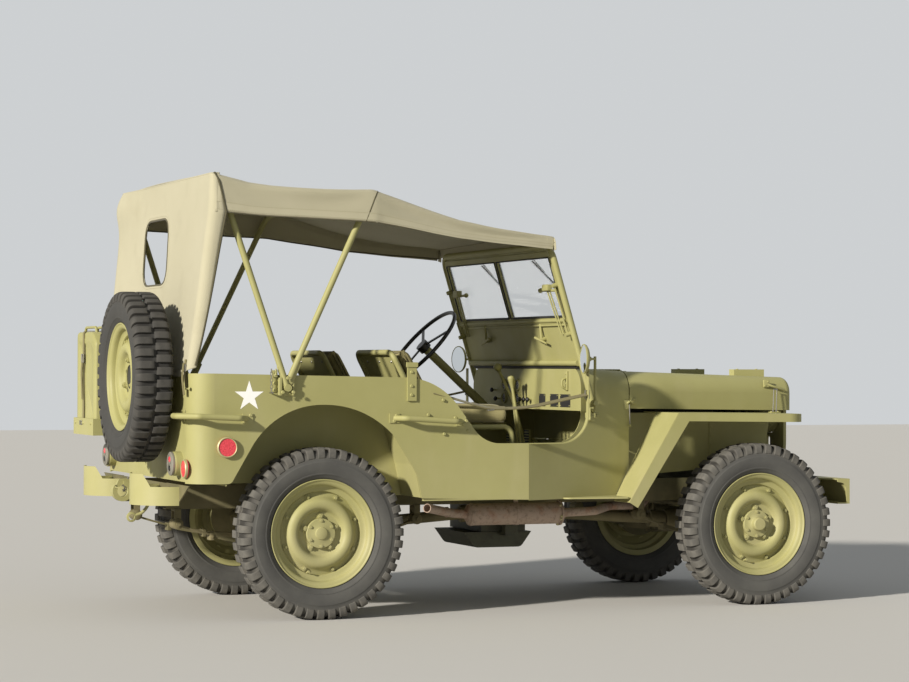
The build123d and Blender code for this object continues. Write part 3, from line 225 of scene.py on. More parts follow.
def reflector():
    """Moulded red plastic: bright red, with a grid of 5 mm prisms behind a glossy face."""
    mat, tree, shader = start("moulded_red_reflector", Base_Color=srgb("C9303A"), Roughness=0.18)
    place = add(tree, "ShaderNodeTexCoord", out="Object")
    cells = add(tree, "ShaderNodeTexVoronoi", {"Vector": place, "Scale": 190.0}, "Distance", feature="F1")
    tone = add(tree, inputs={0: cells, 6: srgb("F25560"), 7: srgb("B8303A")}, **MIX)
    finish(tree, shader, tone, cells, 0.4, 0.001)
    return mat


RED = reflector()


# Geometry

def headings(path):
    """The way that a path runs at each of its points."""
    ends = [path[0], *path, path[-1]]
    return [(b - a).normalized() for a, b in zip(ends, ends[2:])]


def axes(x, y, place):
    """The matrix that moves a flat shape to a place, with its X and Y along x and y."""
    return Matrix.Translation(place) @ Matrix((x, y, x.cross(y))).transposed().to_4x4()


def picked(made, kind):
    return [part for part in made["geom"] if isinstance(part, kind)]


class Batch:
    """Small shapes gathered into one object that rides on one body."""

    def __init__(self, name, mat, body="chassis"):
        self.name, self.mat, self.body = name, mat, body
        self.bm = bmesh.new()

    def box(self, x0, x1, y0, y1, z0, z1, turn=None, round_off=0.0):
        size = Vector((abs(x1 - x0), abs(y1 - y0), abs(z1 - z0)))
        centre = at((x0 + x1) / 2, (y0 + y1) / 2, (z0 + z1) / 2)
        matrix = Matrix.Translation(centre) @ (turn or Matrix.Identity(4)) @ Matrix.Diagonal(size.to_4d())
        made = bmesh.ops.create_cube(self.bm, size=1.0, matrix=matrix)
        if round_off:
            edges = list({e for v in made["verts"] for e in v.link_edges})
            bmesh.ops.bevel(self.bm, geom=edges, offset=round_off, segments=3, affect="EDGES", profile=0.5,
                            material=-1)

    def rod(self, a, b, r, sides=20, r2=None):
        """A round bar from a to b, both counted from the rear axle; r2 is its radius at b."""
        a, b = at(*a), at(*b)
        run = b - a
        matrix = Matrix.Translation((a + b) / 2) @ run.to_track_quat("Z", "Y").to_matrix().to_4x4()
        bmesh.ops.create_cone(self.bm, cap_ends=True, cap_tris=False, segments=sides, radius1=r,
                              radius2=r if r2 is None else r2, depth=run.length, matrix=matrix)

    def rods(self, rows, place=lambda *p: p):
        """Round bars from rows of rod's values; place turns a row's two ends into places on the car."""
        for a, b, *bar in rows:
            self.rod(place(*a), place(*b), *bar)

    def ball(self, centre, r, flat=(1, 1, 1)):
        matrix = Matrix.Translation(at(*centre)) @ Matrix.Diagonal(Vector(flat).to_4d())
        bmesh.ops.create_uvsphere(self.bm, u_segments=20, v_segments=12, radius=r, matrix=matrix)

    def patch(self, matrix, width, height):
        """A flat rectangle in the matrix's XY plane."""
        size = Matrix.Diagonal((width, height, 1, 1))
        return bmesh.ops.create_grid(self.bm, x_segments=1, y_segments=1, size=0.5, matrix=matrix @ size)["verts"]

    def sweep(self, section, places):
        """Draws the section, a flat face's points, through the places and closes the far end."""
        edges = section[0].link_faces[0].edges[:]
        for before, after in zip(places, places[1:]):
            made = bmesh.ops.extrude_edge_only(self.bm, edges=edges)
            edges = picked(made, bmesh.types.BMEdge)
            bmesh.ops.transform(self.bm, matrix=after @ before.inverted(), verts=picked(made, bmesh.types.BMVert))
        bmesh.ops.contextual_create(self.bm, geom=edges)

    def pipe(self, path, r, sides=10):
        """A round cord along row-frame points."""
        places, side = [], None
        for p, ahead in zip(path, headings(path)):
            side = ahead.orthogonal() if side is None else side - ahead * side.dot(ahead)
            side.normalize()
            places.append(axes(side.cross(ahead), side, p))
        section = bmesh.ops.create_circle(self.bm, cap_ends=True, segments=sides, radius=r, matrix=places[0])
        self.sweep(section["verts"], places)

    def tube(self, points, r, bend=0.02, sides=14):
        """A bent round bar along points counted from the rear axle, its corners rounded."""
        self.pipe(rounded([at(*p) for p in points], bend), r, sides)

    def strip(self, path, width, facing, thick=0.0025):
        """A flat band along row-frame points; facing says which way it looks, once or for each point."""
        if isinstance(facing, Vector):
            facing = [facing] * len(path)
        places = [axes(ahead.cross(n).normalized(), n.normalized(), p)
                  for p, ahead, n in zip(path, headings(path), facing)]
        self.sweep(self.patch(places[0], width, thick), places)

    def band(self, points, width, face, bend=0.02, thick=0.0025):
        """A flat strap through points counted from the rear axle; face is the way that it looks."""
        self.strip(rounded([at(*p) for p in points], bend), width, Vector(face), thick)

    def stitches(self, path, facing, pitch=0.009):
        """A line of thread stitches just above the cloth, which looks along facing."""
        run = 0.0
        for a, b, up in zip(path, path[1:], facing):
            step = b - a
            ahead = step.normalized()
            while run < step.length:
                middle = a + ahead * (run + pitch * STITCH_SHARE / 2) + up * STITCH_LIFT
                self.patch(axes(ahead, up.cross(ahead).normalized(), middle), pitch * STITCH_SHARE, STITCH_WIDTH)
                run += pitch
            run -= step.length

    def turned(self, rows, centre, axis=(0, 1, 0), steps=48):
        """A ring spun from a closed outline of (radius, distance along the axis)."""
        known = set(self.bm.verts)
        centre, axis = at(*centre), Vector(axis)
        turn = axis.to_track_quat("Z", "Y")
        outline = [self.bm.verts.new(centre + turn @ Vector((r, 0, h))) for r, h in rows]
        sides = [self.bm.edges.new((outline[k - 1], outline[k])) for k in range(len(rows))
                 if rows[k - 1][0] or rows[k][0]]
        bmesh.ops.spin(self.bm, geom=outline + sides, cent=centre, axis=axis.normalized(), dvec=(0, 0, 0),
                       angle=2 * math.pi, steps=steps, use_merge=True, use_duplicate=False)
        bmesh.ops.remove_doubles(self.bm, verts=[v for v in self.bm.verts if v not in known], dist=WELD)

    def bolts(self, places, axis, r, h):
        """Hexagon heads on their washers, each from its place outward along the axis."""
        axis = Vector(axis).normalized()
        for p in map(Vector, places):
            self.rod(p, p + axis * h, r, 6, r * 0.94)
            self.rod(p, p + axis * h * 0.25, r * 1.35, 18)

    def heads(self, places, axis, r=0.0075, h=0.005):
        """Round bolt or rivet heads."""
        axis = Vector(axis).normalized()
        for p in map(Vector, places):
            self.rod(p, p + axis * h, r, 16, r * 0.7)

    def wire_loop(self, centre, along, across, length, width, r=0.002):
        """A wire rectangle, such as a buckle or a footman loop."""
        c, u, v = Vector(centre), Vector(along).normalized() * length / 2, Vector(across).normalized() * width / 2
        corners = [c + u + v, c + u - v, c - u - v, c - u + v]
        for a, b in zip(corners, corners[1:] + corners[:1]):
            self.rod(a, b, r, 10)
            self.ball(a, r)

    def plate(self, outline, normal, thick):
        """A flat plate: corners in order, thickness along the normal."""
        face = self.bm.faces.new([self.bm.verts.new(at(*p)) for p in outline])
        made = bmesh.ops.extrude_face_region(self.bm, geom=[face])
        bmesh.ops.translate(self.bm, vec=Vector(normal).normalized() * thick, verts=picked(made, bmesh.types.BMVert))

    def mirror(self):
        """Adds the shapes so far on the other side of the car."""
        copy = bmesh.ops.duplicate(self.bm, geom=self.bm.verts[:] + self.bm.edges[:] + self.bm.faces[:])
        bmesh.ops.scale(self.bm, vec=(1, -1, 1), verts=picked(copy, bmesh.types.BMVert))

    def done(self, smooth=35, bevel=0.0, mirror_y=False):
        """Makes the object; mirror_y adds the same shapes on the other side of the car."""
        if mirror_y:
            self.mirror()
        # A lone patch already faces outwards
        closed = [f for f in self.bm.faces if len(f.edges[0].link_faces) > 1]
        bmesh.ops.recalc_face_normals(self.bm, faces=closed)
        return finish_mesh(self.name, self.bm, self.mat, self.body, smooth, bevel)


def new_object(name, bm, mat):
    mesh = bpy.data.meshes.new(name)
    bm.to_mesh(mesh)
    bm.free()
    mesh.materials.append(mat)
    obj = bpy.data.objects.new(name, mesh)
    bpy.context.scene.collection.objects.link(obj)
    return obj


def finish_mesh(name, bm, mat, body, smooth=35, bevel=0.0):
    """The object of a rigid piece, on its body and with its finish's slot."""
    obj = new_object(name, bm, mat)
    soften(obj.data, smooth)
    if bevel:
        edge = obj.modifiers.new("edges", "BEVEL")
        edge.width = bevel
        edge.segments = 2
        edge.limit_method = "ANGLE"
        edge.angle_limit = math.radians(40)
        edge.harden_normals = True
    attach(obj, body)
    return obj


def soften(mesh, degrees):
    mesh.polygons.foreach_set("use_smooth", [True] * len(mesh.polygons))
    mesh.set_sharp_from_angle(angle=math.radians(degrees))


def lay_grid(bm, rows):
    """A grid of quads whose points lie at the rows' places; gives the points back in the same order."""
    made = bmesh.ops.create_grid(bm, x_segments=len(rows[0]) - 1, y_segments=len(rows) - 1, size=1.0)["verts"]
    for v, p in zip(made, [p for row in rows for p in row]):
        v.co = p
    return made


def rounded(points, bend, steps=6):
    """A path through the points whose corners are arcs; bend is how far from a corner its arc starts."""
    path = [points[0]]
    bends = bend if isinstance(bend, list) else [bend] * (len(points) - 2)
    for before, corner, after, most in zip(points, points[1:], points[2:], bends):
        back, ahead = before - corner, after - corner
        reach = min(most, back.length * 0.46, ahead.length * 0.46)
        half = back.angle(ahead) / 2
        if half > STRAIGHT:
            path.append(corner)
            continue
        centre = corner + (back.normalized() + ahead.normalized()).normalized() * reach / math.cos(half)
        first, last = corner + back.normalized() * reach - centre, corner + ahead.normalized() * reach - centre
        path += [centre + first.slerp(last, k / steps) * first.length for k in range(steps + 1)]
    path.append(points[-1])
    return path


def rounded_outline(rows, steps=6):
    """A closed outline in a plane from corners of (across, up, radius); its last point is its first."""
    points = []
    for k, (a, b, r) in enumerate(rows):
        corner = Vector((a, b))
        back = (Vector(rows[k - 1][:2]) - corner).normalized()
        ahead = (Vector(rows[(k + 1) % len(rows)][:2]) - corner).normalized()
        for i in range(steps + 1):
            t = i / steps
            points.append(corner + back * r * (1 - t) ** 2 + ahead * r * t ** 2)
    return points + points[:1]


def frame_outline(y0, y1, z0, z1, r, steps=6):
    return rounded_outline([(y0, z0, r), (y1, z0, r), (y1, z1, r), (y0, z1, r)], steps)


# The CAD nodes' materials
looks = {
    CHASSIS: ["frame", "rear_axle", "front_axle", "leaf_springs", "radiator", "prop_shafts", "knuckle_left",
              "knuckle_right", "tie_rod", "dampers"],
    IRON: ["engine_block", "gearbox"],
    EXHAUST: ["exhaust"],
    PANE: ["windscreen_glass"],
    MIRROR: ["mirror_glass"],
    RED: ["reflectors"],
    BLACK: ["steering_wheel"],
    RUBBER: ["spare_tyre", "tyre_front_left", "tyre_front_right", "tyre_rear_left", "tyre_rear_right"],
}
chosen = {name: mat for mat, names in looks.items() for name in names}
for name, obj in nodes.items():
    obj.data.materials.clear()
    obj.data.materials.append(chosen.get(name, OLIVE))
    soften(obj.data, 32)


# Tyres: two staggered rows of blocks whose slots open at the shoulders
LUGS = 43
# Where columns of points stand in a block's pitch: the first row's blocks run from 0.20 to 0.80
PITCH = [0.0, 0.17, 0.20, 0.23, 0.27, 0.30, 0.33, 0.50, 0.67, 0.70, 0.73, 0.77, 0.80, 0.83]
# The flank and then the tread, from bead to middle: radius and half width
FLANK = [
    (0.2068, 0.0525), (0.2256, 0.0562), (0.2290, 0.0605), (0.2370, 0.0668), (0.2440, 0.0706), (0.2455, 0.0726),
    (0.2500, 0.0738), (0.2515, 0.0730), (0.2620, 0.0762), (0.2750, 0.0782), (0.2880, 0.0787), (0.2960, 0.0783),
    (0.2970, 0.0774), (0.3060, 0.0764), (0.3130, 0.0752),
]
# Radius and half width on a block, then both at a slot's floor
TREAD = [
    (0.3150, 0.0778, 0.3150, 0.0748), (0.3230, 0.0786, 0.3230, 0.0730), (0.3330, 0.0778, 0.3310, 0.0700),
    (0.3430, 0.0750, 0.3380, 0.0650), (0.3500, 0.0705, 0.3420, 0.0595), (0.3538, 0.0645, 0.3432, 0.0540),
    (0.3554, 0.0570, 0.3436, 0.0480), (0.3559, 0.0430, 0.3438, 0.0400), (0.3560, 0.0240, 0.3438, 0.0240),
    (0.3560, 0.0080, 0.3438, 0.0095), (0.3550, 0.0066, 0.3442, 0.0066), (0.3450, 0.0052, 0.3446, 0.0052),
    (0.3446, 0.0, 0.3446, 0.0),
]
HALF_TYRE = [row * 2 for row in FLANK] + TREAD


def share_above(value, low, span):
    """How far a value is through a span that starts at low, from 0 to 1."""
    return min(1.0, max(0.0, (value - low) / span))


def block_share(share, side):
    """How much of the block's height stands at this share of the pitch, on this side's row."""
    f = round((share + (0.5 if side < 0 else 0.0)) % 1, 2)
    if f < 0.2 or f > 0.8:
        return 0.0
    return 0.9 if f in (0.2, 0.8) else 1.0


def make_tyre(name, node, body, centre, turn):
    section = [(1, *row) for row in HALF_TYRE] + [(-1, *row) for row in reversed(HALF_TYRE[:-1])]
    matrix = Matrix.Translation(at(*centre)) @ Matrix.Rotation(math.radians(turn), 4, "Z")
    rows, zones = [], []
    for lug_share in [lug + share for lug in range(LUGS) for share in PITCH] + [LUGS]:
        a = 2 * math.pi * lug_share / LUGS
        row = []
        for side, block_r, block_y, floor_r, floor_y in section + section[:1]:
            stands = block_share(lug_share % 1, side)
            r = floor_r + (block_r - floor_r) * stands
            y = (floor_y + (block_y - floor_y) * stands) * side
            row.append(matrix @ Vector((r * math.cos(a), y, r * math.sin(a))))
            # How much painted shade darkens the rubber here: full on a slot's floor in the middle of the tread, fading
            # out towards the shoulders
            slot_shade = (1 - stands) * share_above(block_r, 0.320, 0.030)
            zones.append((share_above(block_r, 0.309, 0.008), slot_shade, node == "spare_tyre", 1.0))
        rows.append(row)
    bm = bmesh.new()
    layer = bm.verts.layers.float_color.new("zone")
    for v, zone in zip(lay_grid(bm, rows), zones):
        v[layer] = zone
    bmesh.ops.remove_doubles(bm, verts=bm.verts[:], dist=WELD)
    bmesh.ops.recalc_face_normals(bm, faces=bm.faces[:])
    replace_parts(finish_mesh(name, bm, RUBBER, body, smooth=38), node)


SPARE = (-0.700, -0.285, 1.002)
CORNERS = [
    # name, axle x, side, how far the hub stands out of the wheel's middle
    ("front_left", FRONT_AXLE, 1, 0.070), ("front_right", FRONT_AXLE, -1, 0.070),
    ("rear_left", 0.0, 1, 0.046), ("rear_right", 0.0, -1, 0.046),
]
# How far the disc's face stands outboard of the wheel's middle, and the radii of the bolts' circles
DISC_OUT = 0.017
NUTS_R = 0.06985
RIM_BOLTS_R = 0.1590
HUB_BOLTS_R = 0.0530
# Sections of a disc wheel: radius and distance outboard of its middle, each a closed outline
RIM_SECTION = [
    (0.2230, -0.062), (0.2245, -0.060), (0.2230, -0.057), (0.2045, -0.053), (0.2000, -0.030), (0.1780, -0.020),
    (0.1780, 0.022), (0.2000, 0.030), (0.2045, 0.053), (0.2225, 0.0565), (0.2250, 0.0585), (0.2262, 0.0612),
    (0.2252, 0.0634), (0.2228, 0.0640), (0.2205, 0.0628), (0.2170, 0.0585), (0.2090, 0.0560), (0.2030, 0.0520),
    (0.1995, 0.0450), (0.1975, 0.0330), (0.1935, 0.0290), (0.1850, 0.0265), (0.1760, 0.0240), (0.1730, 0.0190),
    (0.1725, -0.0180), (0.1760, -0.0240), (0.1940, -0.0330), (0.1990, -0.0600),
]
DISC_SECTION = [
    (0.1735, -0.0020), (0.1520, 0.0160), (0.1380, 0.0340), (0.1180, 0.0380), (0.1000, 0.0260), (0.0920, 0.0120),
    (0.0300, 0.0120), (0.0300, 0.0170), (0.0860, 0.0170), (0.0895, 0.0180), (0.0925, 0.0210), (0.0965, 0.0290),
    (0.1010, 0.0365), (0.1065, 0.0415), (0.1130, 0.0445), (0.1200, 0.0455), (0.1280, 0.0450), (0.1350, 0.0425),
    (0.1410, 0.0375), (0.1460, 0.0305), (0.1500, 0.0235), (0.1550, 0.0180), (0.1620, 0.0140), (0.1735, 0.0110),
]
DRUM_SECTION = [
    (0.030, -0.0550), (0.120, -0.0550), (0.122, -0.0530), (0.122, -0.0490), (0.1165, -0.0475), (0.1165, -0.0300),
    (0.1150, -0.0290), (0.1150, 0.0100), (0.1130, 0.0119), (0.030, 0.0119),
]
HUB_FOOT = [
    (0.0, -0.0540), (0.052, -0.0540), (0.052, 0.0120), (0.0595, 0.0170), (0.0620, 0.0190), (0.0620, 0.0330),
    (0.0605, 0.0345), (0.0470, 0.0355),
]


def disc_and_rim(batch, centre, outward, spot):
    """The rim and disc, the ring of bolts that holds the rim's halves, and the valve."""
    for rows in (RIM_SECTION, DISC_SECTION):
        batch.turned(rows, centre, outward, 96)
    ring = [20 + 45 * k for k in range(8)]
    for degrees in ring:
        batch.rod(spot(RIM_BOLTS_R, degrees, 0.0145), spot(RIM_BOLTS_R, degrees, 0.0175), 0.0120, 18)
    batch.bolts([spot(RIM_BOLTS_R, degrees, 0.0160) for degrees in ring], outward, 0.0068, 0.0110)
    batch.tube([spot(0.172, 250, 0.024), spot(0.168, 250, 0.034), spot(0.166, 250, 0.044)], 0.0034, 0.006)
    batch.rod(spot(0.166, 250, 0.040), spot(0.166, 250, 0.048), 0.0048, 14, 0.0042)


def make_wheel(name, x, side, reach):
    """A road wheel with its drum and hub, nuts, hub bolts and grease cap."""
    y = side * HALF_TRACK
    centre, outward = (x, y, TYRE_R), (0, side, 0)

    def spot(r, degrees, out):
        a = math.radians(degrees)
        return (x + r * math.cos(a), y + side * out, TYRE_R + r * math.sin(a))

    batch = Batch("disc_wheel_" + name, OLIVE, "wheel_" + name)
    disc_and_rim(batch, centre, outward, spot)
    batch.turned(DRUM_SECTION, centre, outward, 72)
    cap = [(0.0330, 0.0385), (0.0290, 0.0420), (0.0285, reach - 0.006), (0.0250, reach - 0.001), (0.0, reach)]
    if x == 0:
        cap = [(0.0330, 0.0380), (0.0270, 0.0400), (0.0250, 0.0440), (0.0210, reach), (0.0, reach)]
    batch.turned(HUB_FOOT + cap, centre, outward, 48)
    nuts = [90 + 72 * k for k in range(5)]
    for degrees in nuts:
        batch.rod(spot(NUTS_R, degrees, 0.016), spot(NUTS_R, degrees, 0.032), 0.0065, 16, 0.0058)
    batch.bolts([spot(NUTS_R, degrees, DISC_OUT) for degrees in nuts], outward, 0.0120, 0.0110)
    batch.bolts([spot(HUB_BOLTS_R, 30 + 60 * k, 0.0350) for k in range(6)], outward, 0.0060, 0.0065)
    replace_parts(batch.done(32), "wheel_" + name)


def make_spare_wheel():
    """The spare's wheel, outboard side backwards; its dark middle and bare stud holes are painted shadow, black discs
    on the disc's face.
    """
    x, y, z = SPARE
    outward = (-1, 0, 0)

    def spot(r, degrees, out):
        a = math.radians(degrees)
        return (x - out, y + r * math.cos(a), z + r * math.sin(a))

    batch = Batch("disc_wheel_spare", OLIVE)
    disc_and_rim(batch, SPARE, outward, spot)
    batch.turned([(0.050, 0.0), (0.050, 0.004), (0.055, 0.004), (0.057, 0.0)], (x - DISC_OUT, y, z), outward, 48)
    carrier_nuts = (90, 210, 330)
    batch.bolts([spot(NUTS_R, degrees, DISC_OUT) for degrees in carrier_nuts], outward, 0.0125, 0.0150)
    for degrees in carrier_nuts:
        batch.rod(spot(NUTS_R, degrees, 0.030), spot(NUTS_R, degrees, 0.038), 0.0062, 16, 0.0055)
    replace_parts(batch.done(32), "spare_wheel")
    # Painted shadow: flat black discs stand for the hollow middle and the five empty stud holes
    shadow_discs = Batch("spare_wheel_shadow_discs", BLACK)
    shadow_discs.rod(spot(0, 0, DISC_OUT + 0.0004), spot(0, 0, DISC_OUT + 0.0012), 0.0505, 48)
    for degrees in (18, 162, 234, 306, 90):
        shadow_discs.rod(spot(NUTS_R, degrees, DISC_OUT + 0.0003), spot(NUTS_R, degrees, DISC_OUT + 0.0008), 0.0085)
    shadow_discs.done(30)


for name, x, side, reach in CORNERS:
    make_tyre("tread_tyre_" + name, "tyre_" + name, "wheel_" + name, (x, side * HALF_TRACK, TYRE_R), 0)
    make_wheel(name, x, side, reach)
make_tyre("tread_tyre_spare", "spare_tyre", "chassis", SPARE, 90)
make_spare_wheel()


# Canvas top: station x, half width and height of the corner line, half width and height of the hem
STATIONS = [
    (-0.490, 0.737, 1.836, 0.765, 1.672), (-0.340, 0.739, 1.800, 0.765, 1.664), (0.200, 0.740, 1.786, 0.762, 1.643),
    (0.590, 0.722, 1.675, 0.736, 1.594), (1.040, 0.676, 1.610, 0.684, 1.560),
]
DECK_ROWS, DECK_COLUMNS = 100, 120
DECK_X0, DECK_X1 = -0.492, 1.038
FRONT_BOW_X = 0.200
# The share of the deck's half width that hangs down the side, and half the share of the bend above it
SIDE_SHARE, BEND = 0.155, 0.03
CLOTH_THICK = 0.0022


def between(table, value):
    """The table's row at a value of its first column, in proportion to the rows on both sides."""
    for a, b in zip(table, table[1:]):
        if value <= b[0] + WELD:
            t = (value - a[0]) / (b[0] - a[0])
            return [p + (q - p) * t for p, q in zip(a, b)]
    return table[-1]


def deck_point(x, v):
    """A point across the deck: v runs from -1 at the right hem to 1 at the left one."""
    _, half_top, top, half_low, low = between(STATIONS, x)
    side, w = (-1 if v < 0 else 1), abs(v)
    knee = 1 - SIDE_SHARE
    if w < knee - BEND:
        crown = 0.010 * (1 - (w / knee) ** 2)
        return at(x, side * half_top * w / knee, top - 0.008 + crown)
    t = (w - knee) / SIDE_SHARE
    if w > knee + BEND:
        return at(x, side * (half_top + (half_low - half_top) * t), top + (low - top) * t)
    t, end = (w - knee + BEND) / (2 * BEND), BEND / SIDE_SHARE
    a = Vector((half_top * (knee - BEND) / knee, top - 0.007))
    b = Vector((half_top + (half_low - half_top) * end, top + (low - top) * end))
    p = a * (1 - t) ** 2 + Vector((half_top, top)) * 2 * t * (1 - t) + b * t ** 2
    return at(x, side * p.x, p.y)


def sheet_mesh(name, rows, uv_size):
    """A grid of points as a canvas with a UV map in its threads' directions."""
    bm = bmesh.new()
    layer = bm.loops.layers.uv.new("threads")
    up, across = len(rows) - 1, len(rows[0]) - 1
    for k, v in enumerate(lay_grid(bm, rows)):
        i, j = divmod(k, across + 1)
        for loop in v.link_loops:
            loop[layer].uv = (i / up * uv_size[0], j / across * uv_size[1])
    return new_object(name, bm, CANVAS)


def drape(obj, held, frames, gravity, shrink, pressure=0.0):
    """Lets the cloth settle with some points held, then keeps that shape."""
    obj.vertex_groups.new(name="held").add(held, 1.0, "REPLACE")
    cloth = obj.modifiers.new("cloth", "CLOTH")
    s = cloth.settings
    s.quality = 6
    s.mass = 0.4
    s.tension_stiffness = 30
    s.compression_stiffness = 12
    s.shear_stiffness = 12
    s.bending_stiffness = 1.2
    s.effector_weights.gravity = gravity
    s.shrink_min = shrink
    s.vertex_group_mass = "held"
    s.use_pressure = pressure > 0
    s.uniform_pressure_force = pressure
    cloth.collision_settings.use_collision = False
    cloth.point_cache.frame_start, cloth.point_cache.frame_end = 1, frames
    scene = bpy.context.scene
    for f in range(1, frames + 1):
        scene.frame_set(f)
    settled = obj.evaluated_get(bpy.context.evaluated_depsgraph_get())
    points = [v.co.copy() for v in settled.data.vertices]
    obj.modifiers.remove(cloth)
    for v, p in zip(obj.data.vertices, points):
        v.co = p
    scene.frame_set(1)


def canvas_finish(obj):
    soften(obj.data, 60)
    wall = obj.modifiers.new("cloth thickness", "SOLIDIFY")
    wall.thickness = CLOTH_THICK
    wall.offset = -1
    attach(obj, "chassis")
    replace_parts(obj, "canvas_top")


def make_deck():
    """The deck, held at its ends and along the front bow."""
    rows, held = [], []
    for i in range(DECK_ROWS):
        x = DECK_X0 + (DECK_X1 - DECK_X0) * i / (DECK_ROWS - 1)
        row = []
        for j in range(DECK_COLUMNS):
            v = -1 + 2 * j / (DECK_COLUMNS - 1)
            row.append(deck_point(x, v) + Vector((0, 0, noise.noise(Vector((x * 5, v * 3, 0.3))) * 0.003)))
            on_bow = abs(x - FRONT_BOW_X) < 0.012 and abs(v) < 0.97
            if i < 2 or i > DECK_ROWS - 4 or on_bow:
                held.append(i * DECK_COLUMNS + j)
        rows.append(row)
    obj = sheet_mesh("top_deck", rows, (1.6, 1.8))
    drape(obj, held, frames=22, gravity=0.22, shrink=0.0015)
    canvas_finish(obj)
    return obj


CURTAIN_ROWS, CURTAIN_COLUMNS = 110, 170
CURTAIN_LEVELS = [
    # height, back x, front x of the flap, half width
    (1.004, -0.5815, -0.553, 0.700), (1.672, -0.5085, -0.443, 0.766), (1.800, -0.4965, -0.470, 0.745),
    (1.834, -0.4925, -0.485, 0.728),
]
# The share of the half width that turns the corner, the share of that which is bent, and the bend's radius
FLAP_SHARE, BENT_SHARE, CORNER_R = 0.055, 0.62, 0.034
# The window's sides (y), foot and top (z), and its corners' radius
WINDOW = (-0.096, 0.290, 1.396, 1.681, 0.088)


def curtain_point(s, t):
    """A point of the rear curtain: s from -1 at the right flap's edge to 1, t from 0 at the foot to 1 at the top."""
    foot, top = CURTAIN_LEVELS[0][0], CURTAIN_LEVELS[-1][0]
    z, back, front, half = between(CURTAIN_LEVELS, foot + (top - foot) * t)
    side, w = (-1 if s < 0 else 1), abs(s)
    if w <= 1 - FLAP_SHARE:
        return at(back, side * (half - CORNER_R) * w / (1 - FLAP_SHARE), z)
    k = (w - 1 + FLAP_SHARE) / FLAP_SHARE
    a = min(1.0, k / BENT_SHARE) * math.pi / 2
    x = back + CORNER_R * (1 - math.cos(a))
    if k > BENT_SHARE:
        x += (front - back - CORNER_R) * (k - BENT_SHARE) / (1 - BENT_SHARE)
    return at(x, side * (half - CORNER_R + CORNER_R * math.sin(a)), z)


def from_window(p):
    """The way and distance of a point from the rounded window's inner rectangle."""
    y0, y1, z0, z1, r = WINDOW
    nearest = Vector((min(max(p.y, y0 + r), y1 - r), min(max(p.z, z0 + r), z1 - r)))
    return Vector((p.y, p.z)) - nearest, nearest


def make_curtain():
    """The rear curtain with its window; gives back the settled cloth's points, row by row."""
    rows, held = [], []
    for i in range(CURTAIN_ROWS):
        t = i / (CURTAIN_ROWS - 1)
        row = []
        for j in range(CURTAIN_COLUMNS):
            s = -1 + 2 * j / (CURTAIN_COLUMNS - 1)
            ripple = noise.noise(Vector((s * 6, t * 2.0, 4.1))) * 0.004 * math.sin(math.pi * t)
            row.append(curtain_point(s, t) + Vector((ripple, 0, 0)))
            if i < 2 or i == CURTAIN_ROWS - 1 or min(j, CURTAIN_COLUMNS - 1 - j) < 7:
                held.append(i * CURTAIN_COLUMNS + j)
        rows.append(row)
    obj = sheet_mesh("rear_curtain", rows, (0.86, 1.7))
    drape(obj, held, frames=16, gravity=0.3, shrink=0.001)
    for v in obj.data.vertices:
        # The foot's corners are cut up towards their straps, and the left top corner bellies out
        i, j = divmod(v.index, CURTAIN_COLUMNS)
        t, s = i / (CURTAIN_ROWS - 1), -1 + 2 * j / (CURTAIN_COLUMNS - 1)
        v.co.z += 0.046 * share_above(abs(s), 0.84, 0.16) ** 1.5 * (1 - t) ** 6
        v.co.x -= 0.026 * share_above(s, 0.52, 0.40) * math.exp(-((v.co.z - 1.760) / 0.075) ** 2)
    settled = [v.co.copy() for v in obj.data.vertices]
    bm = bmesh.new()
    bm.from_mesh(obj.data)
    r = WINDOW[-1]
    gone = [f for f in bm.faces if from_window(f.calc_center_median())[0].length < r]
    bmesh.ops.delete(bm, geom=gone, context="FACES")
    # The hole's rim is drawn onto the window's outline
    for v in {v for e in bm.edges if e.is_boundary for v in e.verts}:
        away, nearest = from_window(v.co)
        if WELD < away.length < r + 0.03:
            v.co.yz = nearest + away.normalized() * r
    bm.to_mesh(obj.data)
    bm.free()
    canvas_finish(obj)
    return settled


deck = make_deck()
curtain_grid = make_curtain()

# Pads of the seats: name, replaced node, centre, size (x, y, z) and lean in degrees
CUSHION, BACK_PAD = (0.37, 0.41, 0.085), (0.034, 0.41, 0.25)
PADS = [
    ("driver_cushion", "driver_seat_pads", (0.624, 0.345, 0.846), CUSHION, 1.5),
    ("driver_back_pad", "driver_seat_pads", (0.381, 0.345, 1.012), BACK_PAD, -29.0),
    ("passenger_cushion", "passenger_seat_pads", (0.704, -0.345, 0.846), CUSHION, 1.5),
    ("passenger_back_pad", "passenger_seat_pads", (0.461, -0.345, 1.012), BACK_PAD, -29.0),
    ("rear_cushion", "rear_seat_pads", (-0.071, 0.0, 0.834), (0.40, 0.84, 0.066), 0.0),
    ("rear_back_pad", "rear_seat_pads", (-0.256, 0.0, 0.932), (0.058, 0.84, 0.104), 0.0),
]
# The most that the filling moves the cloth
PUFF = 0.012


